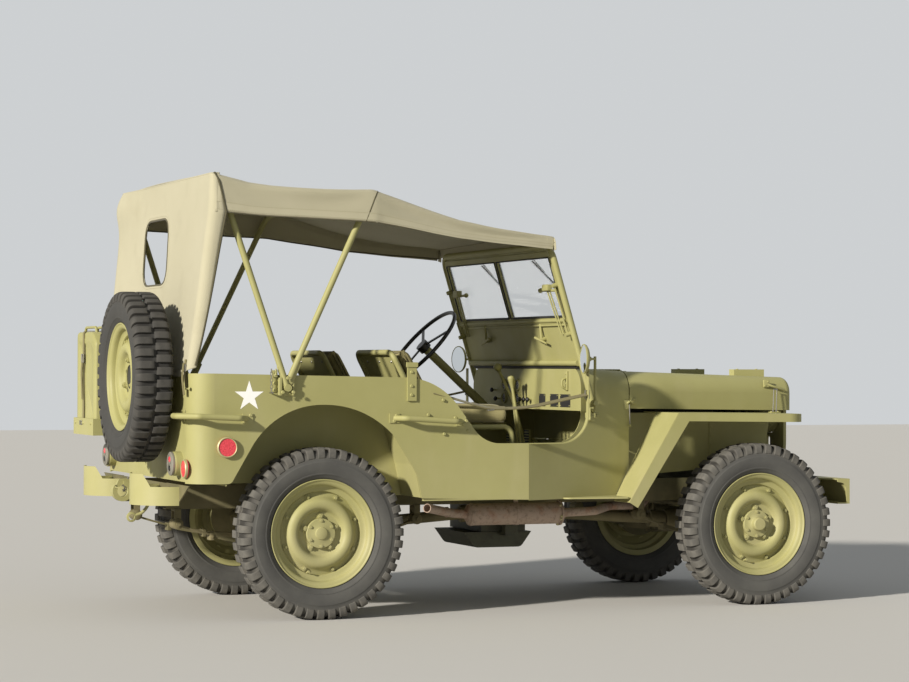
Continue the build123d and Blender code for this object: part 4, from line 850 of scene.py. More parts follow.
def make_pad(name, node, centre, size, lean):
    """A stuffed canvas pad: a slack slab that the cloth solver fills, then laid in its place."""
    thin = min(size)
    slab = [length - 0.008 if length > thin else length * 0.74 for length in size]
    bm = bmesh.new()
    bmesh.ops.create_cube(bm, size=1.0, matrix=Matrix.Diagonal(slab + [1]))
    bmesh.ops.bevel(bm, geom=bm.edges[:], offset=thin * 0.24, segments=4, affect="EDGES", profile=0.5, material=-1)
    obj = new_object(name, bm, SEAT_CANVAS)
    even = obj.modifiers.new("even quads", "REMESH")
    even.mode = "VOXEL"
    even.voxel_size = 0.009
    bpy.context.view_layer.update()
    made = bpy.data.meshes.new_from_object(obj.evaluated_get(bpy.context.evaluated_depsgraph_get()))
    obj.modifiers.remove(even)
    obj.data = made
    made.name = name
    before = [v.co.copy() for v in made.vertices]
    bottom = [v.index for v in made.vertices if (v.co / thin).length < 0.8]
    drape(obj, bottom or [0], frames=18, gravity=0.0, shrink=-0.02, pressure=4.0)
    for v, old in zip(made.vertices, before):
        move = v.co - old
        v.co = old + move * min(1.0, PUFF / max(move.length, 1e-9))
    # Seams pull the cloth in along the border; soft wrinkles run in from them
    axis = size.index(thin)
    wide, deep = [k for k in range(3) if k != axis]
    for v in made.vertices:
        across, along = v.co[wide], v.co[deep]
        edge = min(size[wide] / 2 - abs(across), size[deep] / 2 - abs(along))
        side = 1 if v.co[axis] > 0 else -1
        seam = 0.006 * math.exp(-((edge - 0.018) / 0.006) ** 2)
        crease = 0.0035 * noise.noise(Vector((across * 26, along * 7, side))) * math.exp(-max(0.0, edge) / 0.07)
        v.co[axis] -= side * (seam + crease)
    turn = Matrix.Translation(at(*centre)) @ Matrix.Rotation(math.radians(lean), 4, "Y")
    made.transform(turn)
    layer = made.uv_layers.new(name="threads")
    for loop in made.loops:
        p = made.vertices[loop.vertex_index].co
        layer.data[loop.index].uv = (p.x + p.z * 0.3, p.y + p.z * 0.3)
    made.materials.clear()
    made.materials.append(SEAT_CANVAS)
    soften(made, 60)
    fine = obj.modifiers.new("smooth cloth", "SUBSURF")
    fine.levels = fine.render_levels = 1
    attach(obj, "chassis")
    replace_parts(obj, node)
    # Piped seams around both faces
    cord = Batch(name + "_piping", WEBBING)
    half_a, half_b = size[wide] / 2 - 0.014, size[deep] / 2 - 0.014
    for side in (-1, 1):
        ring = []
        for q in frame_outline(-half_a, half_a, -half_b, half_b, 0.03):
            p = Vector((0, 0, 0))
            p[wide], p[deep], p[axis] = q.x, q.y, side * (thin / 2 - 0.010)
            ring.append(turn @ p)
        cord.pipe(ring, 0.0036, 8)
    cord.done(50)


for pad in PADS:
    make_pad(*pad)


def deck_at(x, v, lift=0.0):
    """A place on the settled deck and the way that the deck faces there."""
    i = min(max((x - DECK_X0) / (DECK_X1 - DECK_X0) * (DECK_ROWS - 1), 0), DECK_ROWS - 1.001)
    j = min(max((v + 1) / 2 * (DECK_COLUMNS - 1), 0), DECK_COLUMNS - 1.001)
    first, fi, fj = int(i) * DECK_COLUMNS + int(j), i % 1, j % 1
    place, facing = Vector(), Vector()
    for step, share in ((0, (1 - fi) * (1 - fj)), (1, (1 - fi) * fj), (DECK_COLUMNS, fi * (1 - fj)),
                        (DECK_COLUMNS + 1, fi * fj)):
        point = deck.data.vertices[first + step]
        place += point.co * share
        facing += point.normal * share
    facing.normalize()
    if facing.dot(Vector((0, place.y, 1))) < 0:
        facing.negate()
    return place + facing * lift, facing


def deck_path(marks, lift=0.0):
    """A line over the settled deck through (x, v) marks: its places and the ways that the deck faces."""
    return list(zip(*[deck_at(x, v, lift) for x, v in marks]))


# The hem's two ends (x), the seam over the front bow (x) and how far the seam slants back at the hem
HEM_X0, HEM_X1, BOW_SEAM_X, SEAM_SLANT = -0.485, 1.030, 0.217, 0.061


def hem_marks(v):
    """Marks along the deck from its back to its front, all at v."""
    return [(HEM_X0 + (HEM_X1 - HEM_X0) * k / 120, v) for k in range(121)]


def bow_seam_marks(shift):
    """Marks over the front bow that slant back down the sides."""
    spread = [-1 + k / 60 for k in range(121)]
    return [(BOW_SEAM_X + shift - SEAM_SLANT * max(0.0, (abs(v) - 1) / SIDE_SHARE + 1), v) for v in spread]


def window_ring(grow, lift):
    """A line round the window, on the back of the settled curtain."""
    y0, y1, z0, z1, r = WINDOW
    ring = []
    for q in frame_outline(y0 - grow, y1 + grow, z0 - grow, z1 + grow, r, 10):
        near = min(curtain_grid, key=lambda p: (p.y - q.x) ** 2 + (p.z - q.y) ** 2)
        ring.append(Vector((near.x - lift, q.x, q.y)))
    return ring


def canvas_trims():
    """Hems, bindings, pipings and stitch lines of the top."""
    hems, piping = Batch("canvas_hems", CANVAS), Batch("canvas_piping", PIPING)
    thread = Batch("canvas_stitching", THREAD)
    for side in (-1, 1):
        path, facing = deck_path(hem_marks(side * 0.975), CLOTH_THICK)
        hems.strip(path, 0.034, facing, CLOTH_THICK)
        for v in (0.960, 0.990):
            thread.stitches(*deck_path(hem_marks(side * v), 0.0036))
        piping.pipe(deck_path(hem_marks(side * 0.998))[0], 0.0028, 8)
    piping.pipe(deck_path(bow_seam_marks(0.0), 0.001)[0], 0.0030, 8)
    for shift in (-0.009, 0.010):
        thread.stitches(*deck_path(bow_seam_marks(shift), 0.0012))
    # The front hem over the windscreen's header and the valance below it
    spread = [-0.98 + 1.96 * k / 80 for k in range(81)]
    path, facing = deck_path([(1.020, v) for v in spread], CLOTH_THICK)
    hems.strip(path, 0.030, facing, CLOTH_THICK)
    valance = [p + Vector((0.0016, 0, -0.019)) for p in deck_path([(1.0375, v) for v in spread])[0]]
    hems.strip(valance, 0.040, Vector((1, 0, 0)), CLOTH_THICK)
    # The curtain's side edges with their stitches, its top edge and its foot's hem
    backward = Vector((-1, 0, 0))
    for edge, inner, side in ((0, 2, -1), (CURTAIN_COLUMNS - 1, CURTAIN_COLUMNS - 3, 1)):
        outward = Vector((0, side, 0))
        piping.pipe(curtain_grid[edge::CURTAIN_COLUMNS], 0.0050, 8)
        seam = [p + outward * 0.0016 for p in curtain_grid[inner::CURTAIN_COLUMNS]]
        thread.stitches(seam, [outward] * CURTAIN_ROWS)
    hems.pipe([p + Vector((-0.001, 0, -0.002)) for p in curtain_grid[-CURTAIN_COLUMNS:]], 0.0030, 8)
    foot = [p + Vector((-CLOTH_THICK, 0, 0.014)) for p in curtain_grid[12:CURTAIN_COLUMNS - 12]]
    hems.strip(foot, 0.026, backward, CLOTH_THICK)
    piping.pipe(window_ring(0.0, 0.0008), 0.0050, 8)
    hems.strip(window_ring(0.012, 0.0020), 0.022, backward, 0.0018)
    around = window_ring(0.012, 0.0034)
    thread.stitches(around, [backward] * len(around))
    for batch in (hems, piping, thread):
        batch.done(50)


canvas_trims()


# Small parts. What says "left side" in its comment is mirrored to the right by done.
LEAN, SCREEN_FOOT_X, SCREEN_FOOT_Z = math.radians(16.6), 1.236, 0.907


def screen_point(u, v, w=0.0):
    """A place on the windscreen: across the car, up the slope, and forward from its middle plane."""
    return (SCREEN_FOOT_X - v * math.sin(LEAN) + w * math.cos(LEAN), u,
            SCREEN_FOOT_Z + v * math.cos(LEAN) + w * math.sin(LEAN))


BODY_Y = 0.725
# x and z of the bolt heads on a side's lower and upper sheet
SIDE_BOLTS = [
    (0.513, 0.908), (0.446, 0.846), (0.518, 0.766), (0.627, 0.778), (0.617, 0.820), (0.295, 0.8215), (0.305, 0.844),
    (0.5675, 0.833), (0.606, 0.806), (-0.352, 0.823), (-0.328, 0.848),
]


def body_bolts():
    """Bolt heads of the left side, of the rear panel's left half and of the bow bracket."""
    batch = Batch("body_bolts", OLIVE)
    batch.heads([(x, BODY_Y + 0.0045 * (x < 0.62), z) for x, z in SIDE_BOLTS], (0, 1, 0))
    batch.heads([(0.370, BODY_Y + 0.009, z) for z in (0.930, 0.967, 1.025)], (0, 1, 0))
    batch.heads([(-0.577, y, 0.990) for y in (0.18, 0.34, 0.50)], (-1, 0, 0), 0.006, 0.003)
    batch.heads([(-0.200, 0.758, 0.942), (-0.155, 0.758, 0.942), (-0.178, 0.758, 1.000)], (0, 1, 0), 0.008, 0.006)
    batch.heads([(-0.5765, y, z) for y in (0.588, 0.632) for z in (0.826, 0.864)], (-1, 0, 0), 0.006, 0.004)
    batch.done(30, mirror_y=True)


def bow_chains():
    """The left bow's clip pin on its short chain."""
    chain = Batch("bow_pin_chains", STEEL)
    for k in range(7):
        across = (1, 0, 0) if k % 2 else (0, 1, 0)
        chain.wire_loop((-0.246, 0.747, 1.030 - 0.013 * k), (0, 0, 1), across, 0.014, 0.007, 0.0014)
    chain.rod((-0.246, 0.730, 0.940), (-0.246, 0.766, 0.940), 0.0034, 10)
    chain.done(30, mirror_y=True)


def door_straps():
    """The webbing safety strap across the left door opening, with its buckle and hooks."""
    webbing = Batch("door_straps", WEBBING)
    webbing.band([(0.470, 0.716, 0.940), (0.620, 0.706, 0.900), (0.735, 0.700, 0.868), (0.920, 0.698, 0.876),
                  (1.060, 0.698, 0.905), (1.186, 0.698, 0.930)], 0.026, (0.1, 0.35, 1), bend=0.06, thick=0.004)
    webbing.band([(0.655, 0.704, 0.893), (0.735, 0.700, 0.872), (0.810, 0.698, 0.874)], 0.027, (0.1, 0.4, 1),
                 bend=0.04, thick=0.004)
    webbing.done(40, mirror_y=True)
    metal = Batch("door_strap_hooks", STEEL)
    metal.wire_loop((0.735, 0.700, 0.870), (1, 0, 0.1), (0, -1, 0.3), 0.026, 0.034, 0.0026)
    for place in ((1.189, 0.698, 0.930), (0.466, 0.716, 0.941)):
        metal.wire_loop(place, (1, 0, 0), (0, 0, 1), 0.020, 0.034, 0.0022)
    metal.done(30, mirror_y=True)


def corner_straps():
    """The straps that pull the curtain's foot down to the loops on the rear corners and panel."""
    webbing, metal = Batch("curtain_straps", WEBBING), Batch("curtain_strap_buckles", STEEL)
    loops = Batch("footman_loops", OLIVE)
    x, y, back = -0.574, 0.650, (-1, 0, 0)
    webbing.band([(x - 0.006, y, 1.075), (x - 0.010, y, 1.020), (x - 0.004, y, 0.960)], 0.024, back)
    webbing.band([(x - 0.016, y + 0.004, 1.060), (x - 0.024, y + 0.010, 1.000), (x - 0.016, y + 0.012, 0.930)],
                 0.020, (-1, 0, 0.1))
    metal.wire_loop((x - 0.012, y, 1.040), (0, 1, 0), (0, 0, 1), 0.034, 0.026, 0.0024)
    loops.wire_loop((x + 0.004, y, 0.956), (0, 1, 0), (1, 0, 0), 0.040, 0.016, 0.0028)
    loops.heads([(x + 0.002, y + d, 0.956) for d in (-0.027, 0.027)], back, 0.008, 0.004)
    for batch in (webbing, metal, loops):
        batch.mirror()
    metal.rods([((x - 0.012, y - 0.016, 1.040), (x - 0.016, y + 0.016, 1.042), 0.0018, 10) for y in (-0.650, 0.650)])
    for y in (-0.38, 0.0, 0.16, 0.53):
        webbing.band([(-0.5835, y, 1.060), (-0.5840, y, 1.010), (-0.5805, y, 0.968)], 0.022, back)
        metal.wire_loop((-0.5855, y, 1.030), (0, 1, 0), (0, 0, 1), 0.030, 0.022, 0.0020)
        loops.wire_loop((-0.577, y, 0.966), (0, 1, 0), (1, 0, 0), 0.036, 0.014, 0.0026)
    webbing.done(40)
    metal.done(30)
    loops.done(30)


DASH_X = 1.1915


def dash():
    """Blank data plates, the instruments, switches and the grab handle of the dash."""
    x, back = DASH_X, (-1, 0, 0)
    plates, rims, marks = Batch("dash_plates", BLACK), Batch("dial_rims", OLIVE), Batch("dial_marks", WHITE)
    for y0, y1 in [(-0.171, -0.239), (-0.295, -0.383), (-0.405, -0.513)]:
        plates.box(x - 0.002, x, y0, y1, 0.872, 0.928)
        rims.heads([(x - 0.002, y, z) for y in (y0 - 0.006, y1 + 0.006) for z in (0.878, 0.922)], back, 0.0028, 0.002)
    small_dials = [(y, z, 0.025) for y in (0.075, 0.235) for z in (0.965, 0.905)]
    for y, z, r in [(0.155, 0.945, 0.044)] + small_dials:
        plates.rod((x, y, z), (x - 0.003, y, z), r - 0.004, 40)
        rims.turned([(r - 0.005, 0.0), (r - 0.005, 0.006), (r, 0.007), (r + 0.003, 0.0)], (x, y, z), back, 40)
        for k in range(10):
            a = math.radians(-40 + 260 / 9 * k)
            ends = [(x - 0.0032, y + reach * math.cos(a), z + reach * math.sin(a)) for reach in (r - 0.008, r - 0.014)]
            marks.rod(*ends, 0.0008, 6)
        marks.rod((x - 0.0038, y, z), (x - 0.0038, y - 0.5 * r, z + 0.4 * r), 0.0009, 6, 0.0005)
    for y, z in [(0.010, 0.900), (-0.035, 0.900), (0.300, 0.900), (0.345, 0.940), (-0.080, 0.900)]:
        rims.rod((x, y, z), (x - 0.016, y, z), 0.004, 12)
        plates.ball((x - 0.020, y, z), 0.011, (0.8, 1, 1))
    y = -0.482
    rims.box(x - 0.008, x, y - 0.010, y + 0.010, 0.945, 1.030, round_off=0.002)
    rims.tube([(x - 0.006, y, 1.000), (x - 0.026, y, 0.992), (x - 0.026, y, 0.960), (x - 0.008, y, 0.952)],
              0.005, 0.010)
    rims.heads([(x - 0.008, y, z) for z in (1.018, 0.975, 0.952)], back, 0.006, 0.004)
    plates.done(bevel=0.0006)
    rims.done()
    marks.done()


# Left side of the windscreen, in screen_point's terms: two ends, radius, sides and the far end's radius
SCREEN_RODS = [
    # The wiper's spindle handle and its twin arms
    ((0.440, 0.500, -0.012), (0.612, 0.495, -0.012), 0.006, 14),
    ((0.522, 0.500, -0.018), (0.540, 0.300, -0.014), 0.0036, 10),
    ((0.546, 0.500, -0.018), (0.564, 0.300, -0.014), 0.0036, 10),
    # The T handle that locks the opening frame
    ((0.325, 0.350, -0.008), (0.325, 0.285, -0.020), 0.006, 12),
    ((0.270, 0.290, -0.026), (0.380, 0.262, -0.026), 0.0065, 12, 0.0045),
    ((0.325, 0.278, -0.003), (0.325, 0.278, -0.028), 0.010, 16),
    # The quadrant arm at the side of the frame
    ((0.625, 0.300, -0.020), (0.625, 0.372, -0.024), 0.0045, 10),
    ((0.625, 0.372, -0.020), (0.625, 0.520, -0.024), 0.0045, 10),
    ((0.625, 0.300, -0.004), (0.625, 0.300, -0.034), 0.011, 16, 0.009),
    ((0.625, 0.520, -0.004), (0.625, 0.520, -0.034), 0.011, 16, 0.009),
    # Hinges of the glass frame
    ((0.25, 0.668, 0.006), (0.33, 0.668, 0.006), 0.008, 14),
    ((0.50, 0.668, 0.006), (0.58, 0.668, 0.006), 0.008, 14),
]
# The left pivot's clamp with its wing nut and the catch below
PIVOT_Y = 0.655
PIVOT_RODS = [
    ((1.238, PIVOT_Y, 0.893), (1.238, PIVOT_Y + 0.030, 0.893), 0.014, 18, 0.012),
    ((1.238, PIVOT_Y + 0.022, 0.868), (1.238, PIVOT_Y + 0.022, 0.918), 0.0055, 12, 0.004),
    ((1.216, PIVOT_Y + 0.010, 0.872), (1.216, PIVOT_Y + 0.010, 0.828), 0.006, 12),
]


def windscreen_parts():
    """Rubber seals round the panes, hinges, latches, hand wipers and the pivots' clamps."""
    seals = Batch("windscreen_seals", SEAL)
    inner, outer, low, high = 0.0112, 0.6050, 0.376, 0.642
    corners = [(inner, low), (outer, low), (outer, high), (inner, high)]
    for w in (-0.0085, 0.0085):
        seals.rods([((*a, w), (*b, w), 0.0032, 8) for a, b in zip(corners, corners[1:] + corners[:1])], screen_point)
    seals.done(40, mirror_y=True)
    metal = Batch("windscreen_fittings", OLIVE)
    metal.rods(SCREEN_RODS, screen_point)
    metal.rods(PIVOT_RODS)
    metal.ball(screen_point(0.440, 0.500, -0.014), 0.011)
    x, y, z = screen_point(0.530, 0.512, -0.020)
    metal.box(x - 0.012, x + 0.012, y - 0.030, y + 0.030, z - 0.014, z + 0.014, round_off=0.004)
    metal.ball((1.216, PIVOT_Y + 0.010, 0.826), 0.010)
    metal.box(1.200, 1.262, PIVOT_Y - 0.006, PIVOT_Y + 0.006, 0.828, 0.852, round_off=0.003)
    metal.heads([(x, PIVOT_Y + 0.006, 0.840) for x in (1.210, 1.252)], (0, 1, 0), 0.006, 0.004)
    metal.heads([screen_point(u, v, -0.0075) for u in (0.05, 0.20, 0.35, 0.50, 0.60) for v in (0.163, 0.340)],
                (-1, 0, 0.3), 0.0045, 0.003)
    metal.done(mirror_y=True)
    metal = Batch("windscreen_lower_bar", OLIVE)
    for u, v, w, r, sides in ((0.626, 0.168, -0.010, 0.0125, 20), (0.626, 0.360, -0.006, 0.0090, 16),
                              (0.600, 0.340, -0.008, 0.0050, 12)):
        metal.rod(screen_point(-u, v, w), screen_point(u, v, w), r, sides)
    corners = [(-0.612, 0.664), (0.612, 0.664), (0.612, 0.684), (-0.612, 0.684)]
    metal.plate([screen_point(u, v, -0.002) for u, v in corners], (1, 0, 0.3), 0.004)
    metal.done(40)
    foot = Batch("windscreen_foot_seal", SEAL)
    foot.rod(screen_point(-0.600, 0.149, 0.002), screen_point(0.600, 0.149, 0.002), 0.0115, 16)
    foot.done(40)
    # Both wipers lean the same way, from their spindles at the top down to the right
    blades, arms = Batch("wiper_blades", SEAL), Batch("wiper_arms", STEEL)
    for u in (-0.350, 0.240):
        blades.rod(screen_point(u - 0.020, 0.628, 0.015), screen_point(u - 0.190, 0.522, 0.015), 0.004, 8)
        arms.rods([((u, 0.650, 0.022), (u - 0.105, 0.575, 0.020), 0.003, 8),
                   ((u, 0.650, 0.004), (u, 0.650, 0.026), 0.007, 14)], screen_point)
    blades.done()
    arms.done()


def door_lips():
    """The folded edge of the left door opening, turned in towards the seats."""
    lips = Batch("door_lips", OLIVE)
    y = 0.7125
    rear = [(0.080, y, 1.004), (0.496, y, 0.9975), (0.700, y, 0.7220), (0.905, y, 0.7220)]
    front = [(0.908, y, 0.7220), (1.190, y - 0.012, 0.7220), (1.190, y - 0.012, 1.040)]
    for path, bend in ((rear, [0.151, 0.0757]), (front, [0.130])):
        points = rounded([at(*p) for p in path], bend, 14)
        lips.strip(points, 0.024, [Vector((-run.z, 0, run.x)) for run in headings(points)], 0.004)
    lips.done(50, mirror_y=True)


# Where both bows' feet turn, on the left side
BOW_X, BOW_Y, BOW_Z = -0.180, 0.742, 0.972


def bows():
    """The two bows as bent tubes with flattened feet, their pivot brackets, clamps and pins."""
    px, py, pz, y = BOW_X, BOW_Y, BOW_Z, 0.7255
    made = Batch("steel_bows", OLIVE)
    for x0, x1, thick, z0, z1 in [(-0.020, 0.034, 0.005, -0.044, 0.030), (-0.034, -0.020, 0.026, -0.044, 0.030),
                                  (0.026, 0.034, 0.020, -0.044, 0.020), (-0.060, -0.034, 0.005, -0.030, 0.060)]:
        made.box(px + x0, px + x1, y, y + thick, pz + z0, pz + z1, round_off=0.002)
    # Swivel yoke and its big pivot bolt
    made.rod((px + 0.004, y, pz - 0.012), (px + 0.004, 0.7575, pz - 0.012), 0.017, 24, 0.015)
    made.rod((px + 0.004, 0.7565, pz - 0.012), (px + 0.004, 0.7580, pz - 0.012), 0.010, 6, 0.009)
    for x0, z0, x1, z1 in [(0.0, -0.010, -0.030, 0.080), (0.012, 0.004, 0.052, 0.090)]:
        mid_x, mid_z, half = px + (x0 + x1) / 2, pz + (z0 + z1) / 2, math.hypot(x1 - x0, z1 - z0) / 2
        turn = Matrix.Rotation(math.atan2(x1 - x0, z1 - z0), 4, "Y")
        made.box(mid_x - 0.013, mid_x + 0.013, 0.736, 0.748, mid_z - half, mid_z + half, turn, 0.004)
    # The clip plate's wing screw
    made.box(px - 0.056, px - 0.038, y + 0.005, y + 0.022, pz + 0.030, pz + 0.044, round_off=0.003)
    made.rod((px - 0.047, y, pz + 0.052), (px - 0.047, y + 0.027, pz + 0.052), 0.005, 12)
    made.rod((px - 0.047, y + 0.024, pz + 0.040), (px - 0.047, y + 0.024, pz + 0.066), 0.0045, 12, 0.003)
    made.heads([(px - 0.047, y + 0.005, pz + d) for d in (-0.020, 0.008)], (0, 1, 0), 0.007, 0.005)
    made.heads([(px + dx, y + 0.005, pz + dz) for dx, dz in [(-0.012, -0.034), (0.020, -0.034), (0.020, 0.016)]],
               (0, 1, 0), 0.006, 0.004)
    made.mirror()
    for foot_x, foot_z, top_x, top_z in [(px, pz, -0.455, 1.792), (px + 0.016, pz + 0.030, 0.188, 1.750)]:
        path = [(foot_x, -py, foot_z), (top_x, -0.714, top_z), (top_x, 0.714, top_z), (foot_x, py, foot_z)]
        made.tube(path, 0.013, 0.07, 20)
    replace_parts(made.done(), "top_bows")


# The fuel can: its sides and its foot, shoulder and top
CAN_X0, CAN_X1, CAN_Y, CAN_HALF, CAN_Z0, CAN_Z1 = -0.765, -0.604, 0.310, 0.172, 0.758, 1.222
# Depth from the back face and how far the outline is drawn in there, with the welded seam in the middle
CAN_DEPTH = [
    (0.0, 0.010), (0.004, 0.003), (0.010, 0.0), (0.074, 0.0), (0.0765, 0.0), (0.0785, -0.002), (0.0825, -0.002),
    (0.0845, 0.0), (0.087, 0.0), (0.151, 0.0), (0.157, 0.003), (0.161, 0.010),
]
# Rings of a pressed face: its share of the outline and how far it stands out
CAN_FACE = [(0.93, 0.0), (0.88, 0.0015), (0.80, 0.0015), (0.76, -0.0015), (0.55, -0.002), (0.30, -0.001), (0.10, 0.0)]


def can_rings():
    """The can's rings from the middle of its back face to the middle of its front one."""
    y0, y1, shoulder = CAN_Y - CAN_HALF, CAN_Y + CAN_HALF, CAN_Z1 - 0.026
    outline = rounded_outline([(y0, CAN_Z0, 0.030), (y1, CAN_Z0, 0.030), (y1, shoulder, 0.020),
                               (y0 + 0.070, shoulder, 0.030), (y0, CAN_Z1 - 0.070, 0.020)])
    centre = Vector((CAN_Y, (CAN_Z0 + CAN_Z1) / 2))
    spokes = [q - centre for q in outline]

    def face_ring(x, out, share, lift):
        ring = []
        for spoke in spokes:
            rim = spoke - spoke.normalized() * CAN_DEPTH[0][1]
            cross = abs(abs(rim.x) / 0.172 - abs(rim.y) / 0.232)
            press = 0.0025 * math.exp(-(cross / 0.10) ** 2) * (0.2 < share < 0.8)
            ring.append(at(x + out * (lift - press), *(centre + rim * share)))
        return ring

    rings = [face_ring(CAN_X0, -1, *level) for level in reversed(CAN_FACE)]
    rings += [[at(CAN_X0 + depth, *(centre + spoke - spoke.normalized() * inset)) for spoke in spokes]
              for depth, inset in CAN_DEPTH]
    return rings + [face_ring(CAN_X1, 1, *level) for level in CAN_FACE]


def fuel_can():
    """A 20 litre pressed-steel can: welded halves, a shallow cross, three handles, its cap and strap."""
    x0, x1, z0, z1, y0, y1 = CAN_X0, CAN_X1, CAN_Z0, CAN_Z1, CAN_Y - CAN_HALF, CAN_Y + CAN_HALF
    body = Batch("fuel_can_body", OLIVE)
    lay_grid(body.bm, can_rings())
    bmesh.ops.remove_doubles(body.bm, verts=body.bm.verts[:], dist=WELD)
    bmesh.ops.holes_fill(body.bm, edges=body.bm.edges[:], sides=0)
    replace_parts(body.done(40), "fuel_can")
    parts = Batch("fuel_can_handles", OLIVE)
    middle = (x0 + x1) / 2
    for x in (x0 + 0.028, middle, x1 - 0.028):
        parts.tube([(x, y0 + 0.090, z1 - 0.032), (x, y0 + 0.104, z1 - 0.006), (x, y1 - 0.054, z1 - 0.006),
                    (x, y1 - 0.040, z1 - 0.032)], 0.006, 0.014)
    parts.rod((middle, y0 + 0.032, z1 - 0.064), (middle, y0 + 0.012, z1 - 0.022), 0.026, 28, 0.025)
    parts.rod((middle, y0 + 0.014, z1 - 0.026), (middle, y0 + 0.008, z1 - 0.014), 0.028, 28, 0.026)
    parts.box(middle - 0.010, middle + 0.010, y0, y0 + 0.060, z1 - 0.020, z1 - 0.012, round_off=0.002)
    parts.heads([(x0 - 0.012, y, z0 + 0.040) for y in (y0 + 0.03, y1 - 0.03, CAN_Y)], (-1, 0, 0), 0.008, 0.005)
    parts.done()
    y = 0.345
    webbing = Batch("fuel_can_strap", WEBBING)
    points = rounded([at(*p) for p in [(x1 + 0.003, y, 1.000), (x1 + 0.003, y, z1 - 0.022),
                                       (x0 - 0.003, y, z1 - 0.022), (x0 - 0.003, y, z0 + 0.030)]], 0.012)
    webbing.strip(points, 0.026, [Vector((run.z, 0, -run.x)) for run in headings(points)], 0.003)
    webbing.band([(x0 - 0.006, y + 0.002, 1.095), (x0 - 0.012, y + 0.004, 1.020), (x0 - 0.007, y + 0.006, 0.900)],
                 0.024, (-1, 0, 0))
    webbing.done(50)
    metal = Batch("fuel_can_buckle", STEEL)
    metal.wire_loop((x0 - 0.0075, y, 1.080), (0, 1, 0), (0, 0, 1), 0.036, 0.034, 0.0028)
    metal.rod((x0 - 0.0095, y, 1.064), (x0 - 0.0105, y, 1.098), 0.0022, 10)
    metal.wire_loop((x0 - 0.0150, y, z0 + 0.040), (0, 1, 0), (0, 0, 1), 0.034, 0.014, 0.0024)
    metal.done(30)


def rear_lamps():
    """Faces, rims and lenses of the tail lamps, and the bright rims of the reflectors, all on the left side."""
    grey, red = Batch("tail_lamp_faces", LAMP_GREY), Batch("tail_lamp_lenses", RED)
    dark, rims = Batch("tail_lamp_slots", BLACK), Batch("reflector_rims", RIM)
    x, y, z, back = -0.6150, 0.556, 0.648, (-1, 0, 0)
    grey.turned([(0.0, 0.0), (0.042, 0.0), (0.047, -0.004), (0.049, -0.004), (0.049, 0.003), (0.044, 0.006),
                 (0.0, 0.0045)], (x, y, z), back)
    for dz, lens in ((0.018, red), (-0.019, dark)):
        lens.ball((x - 0.004, y, z + dz), 0.020, (0.25, 1.0, 0.62))
        grey.turned([(0.019, 0.0), (0.019, 0.003), (0.022, 0.003), (0.023, 0.0)], (x - 0.0045, y, z + dz), back, 36)
    grey.heads([(x - 0.005, y + d, z) for d in (-0.036, 0.036)], back, 0.004, 0.002)
    rims.turned([(0.0340, 0.0), (0.0340, 0.0020), (0.0365, 0.0030), (0.0392, 0.0), (0.0392, -0.008), (0.036, -0.008)],
                (-0.587, 0.648, 0.630), back)
    rims.turned([(0.0365, 0.0), (0.0365, 0.0020), (0.0390, 0.0035), (0.0422, 0.0), (0.0422, -0.010), (0.038, -0.010)],
                (-0.428, 0.739, 0.718), (0, 1, 0))
    for made, smooth in ((grey, 35), (red, 40), (dark, 40), (rims, 35)):
        made.done(smooth, mirror_y=True)


# Where the left headlamp and the blackout lamp stand
HEADLAMP, MARKER_LAMP = (2.308, 0.268, 0.838), (0.322, 0.712)


def hood_hinge():
    """The hinge's leaves on the cowl and on the hood, with the rest blocks' loops and the catches' hooks."""
    hinge = Batch("hood_hinge_cowl", OLIVE)
    hinge.rod((1.4685, -0.425, 1.0335), (1.4685, 0.425, 1.0335), 0.0052, 14)
    hinge.box(1.440, 1.4665, -0.425, 0.425, 1.0305, 1.0325)
    hinge.heads([(1.452, y / 10, 1.0320) for y in (-4, -2, 0, 2, 4)], (0, 0, 1), 0.0055, 0.0035)
    hinge.done()
    leaf = Batch("hood_hinge_leaf", OLIVE, "hood")
    leaf.rods([((x, 0.300, 1.036), (x, 0.300, 1.0415), 0.006, 12) for x in (2.120, 2.218)])
    leaf.tube([(2.200, 0.4275, 0.975), (2.232, 0.436, 0.962), (2.275, 0.430, 0.952), (2.296, 0.424, 0.945)],
              0.0055, 0.02)
    leaf.box(2.185, 2.215, 0.4275, 0.4345, 0.958, 0.992, round_off=0.002)
    leaf.box(1.478, 1.502, 0.5275, 0.5340, 0.884, 0.912, round_off=0.002)
    leaf.heads([(2.192, 0.4345, 0.966), (2.208, 0.4345, 0.984)], (0, 1, 0), 0.004, 0.003)
    leaf.mirror()
    leaf.box(1.4735, 1.500, -0.425, 0.425, 1.0285, 1.0310)
    leaf.heads([(1.487, y / 10, 1.0305) for y in (-4, -2, 0, 2, 4)], (0, 0, 1), 0.0055, 0.0035)
    leaf.done()


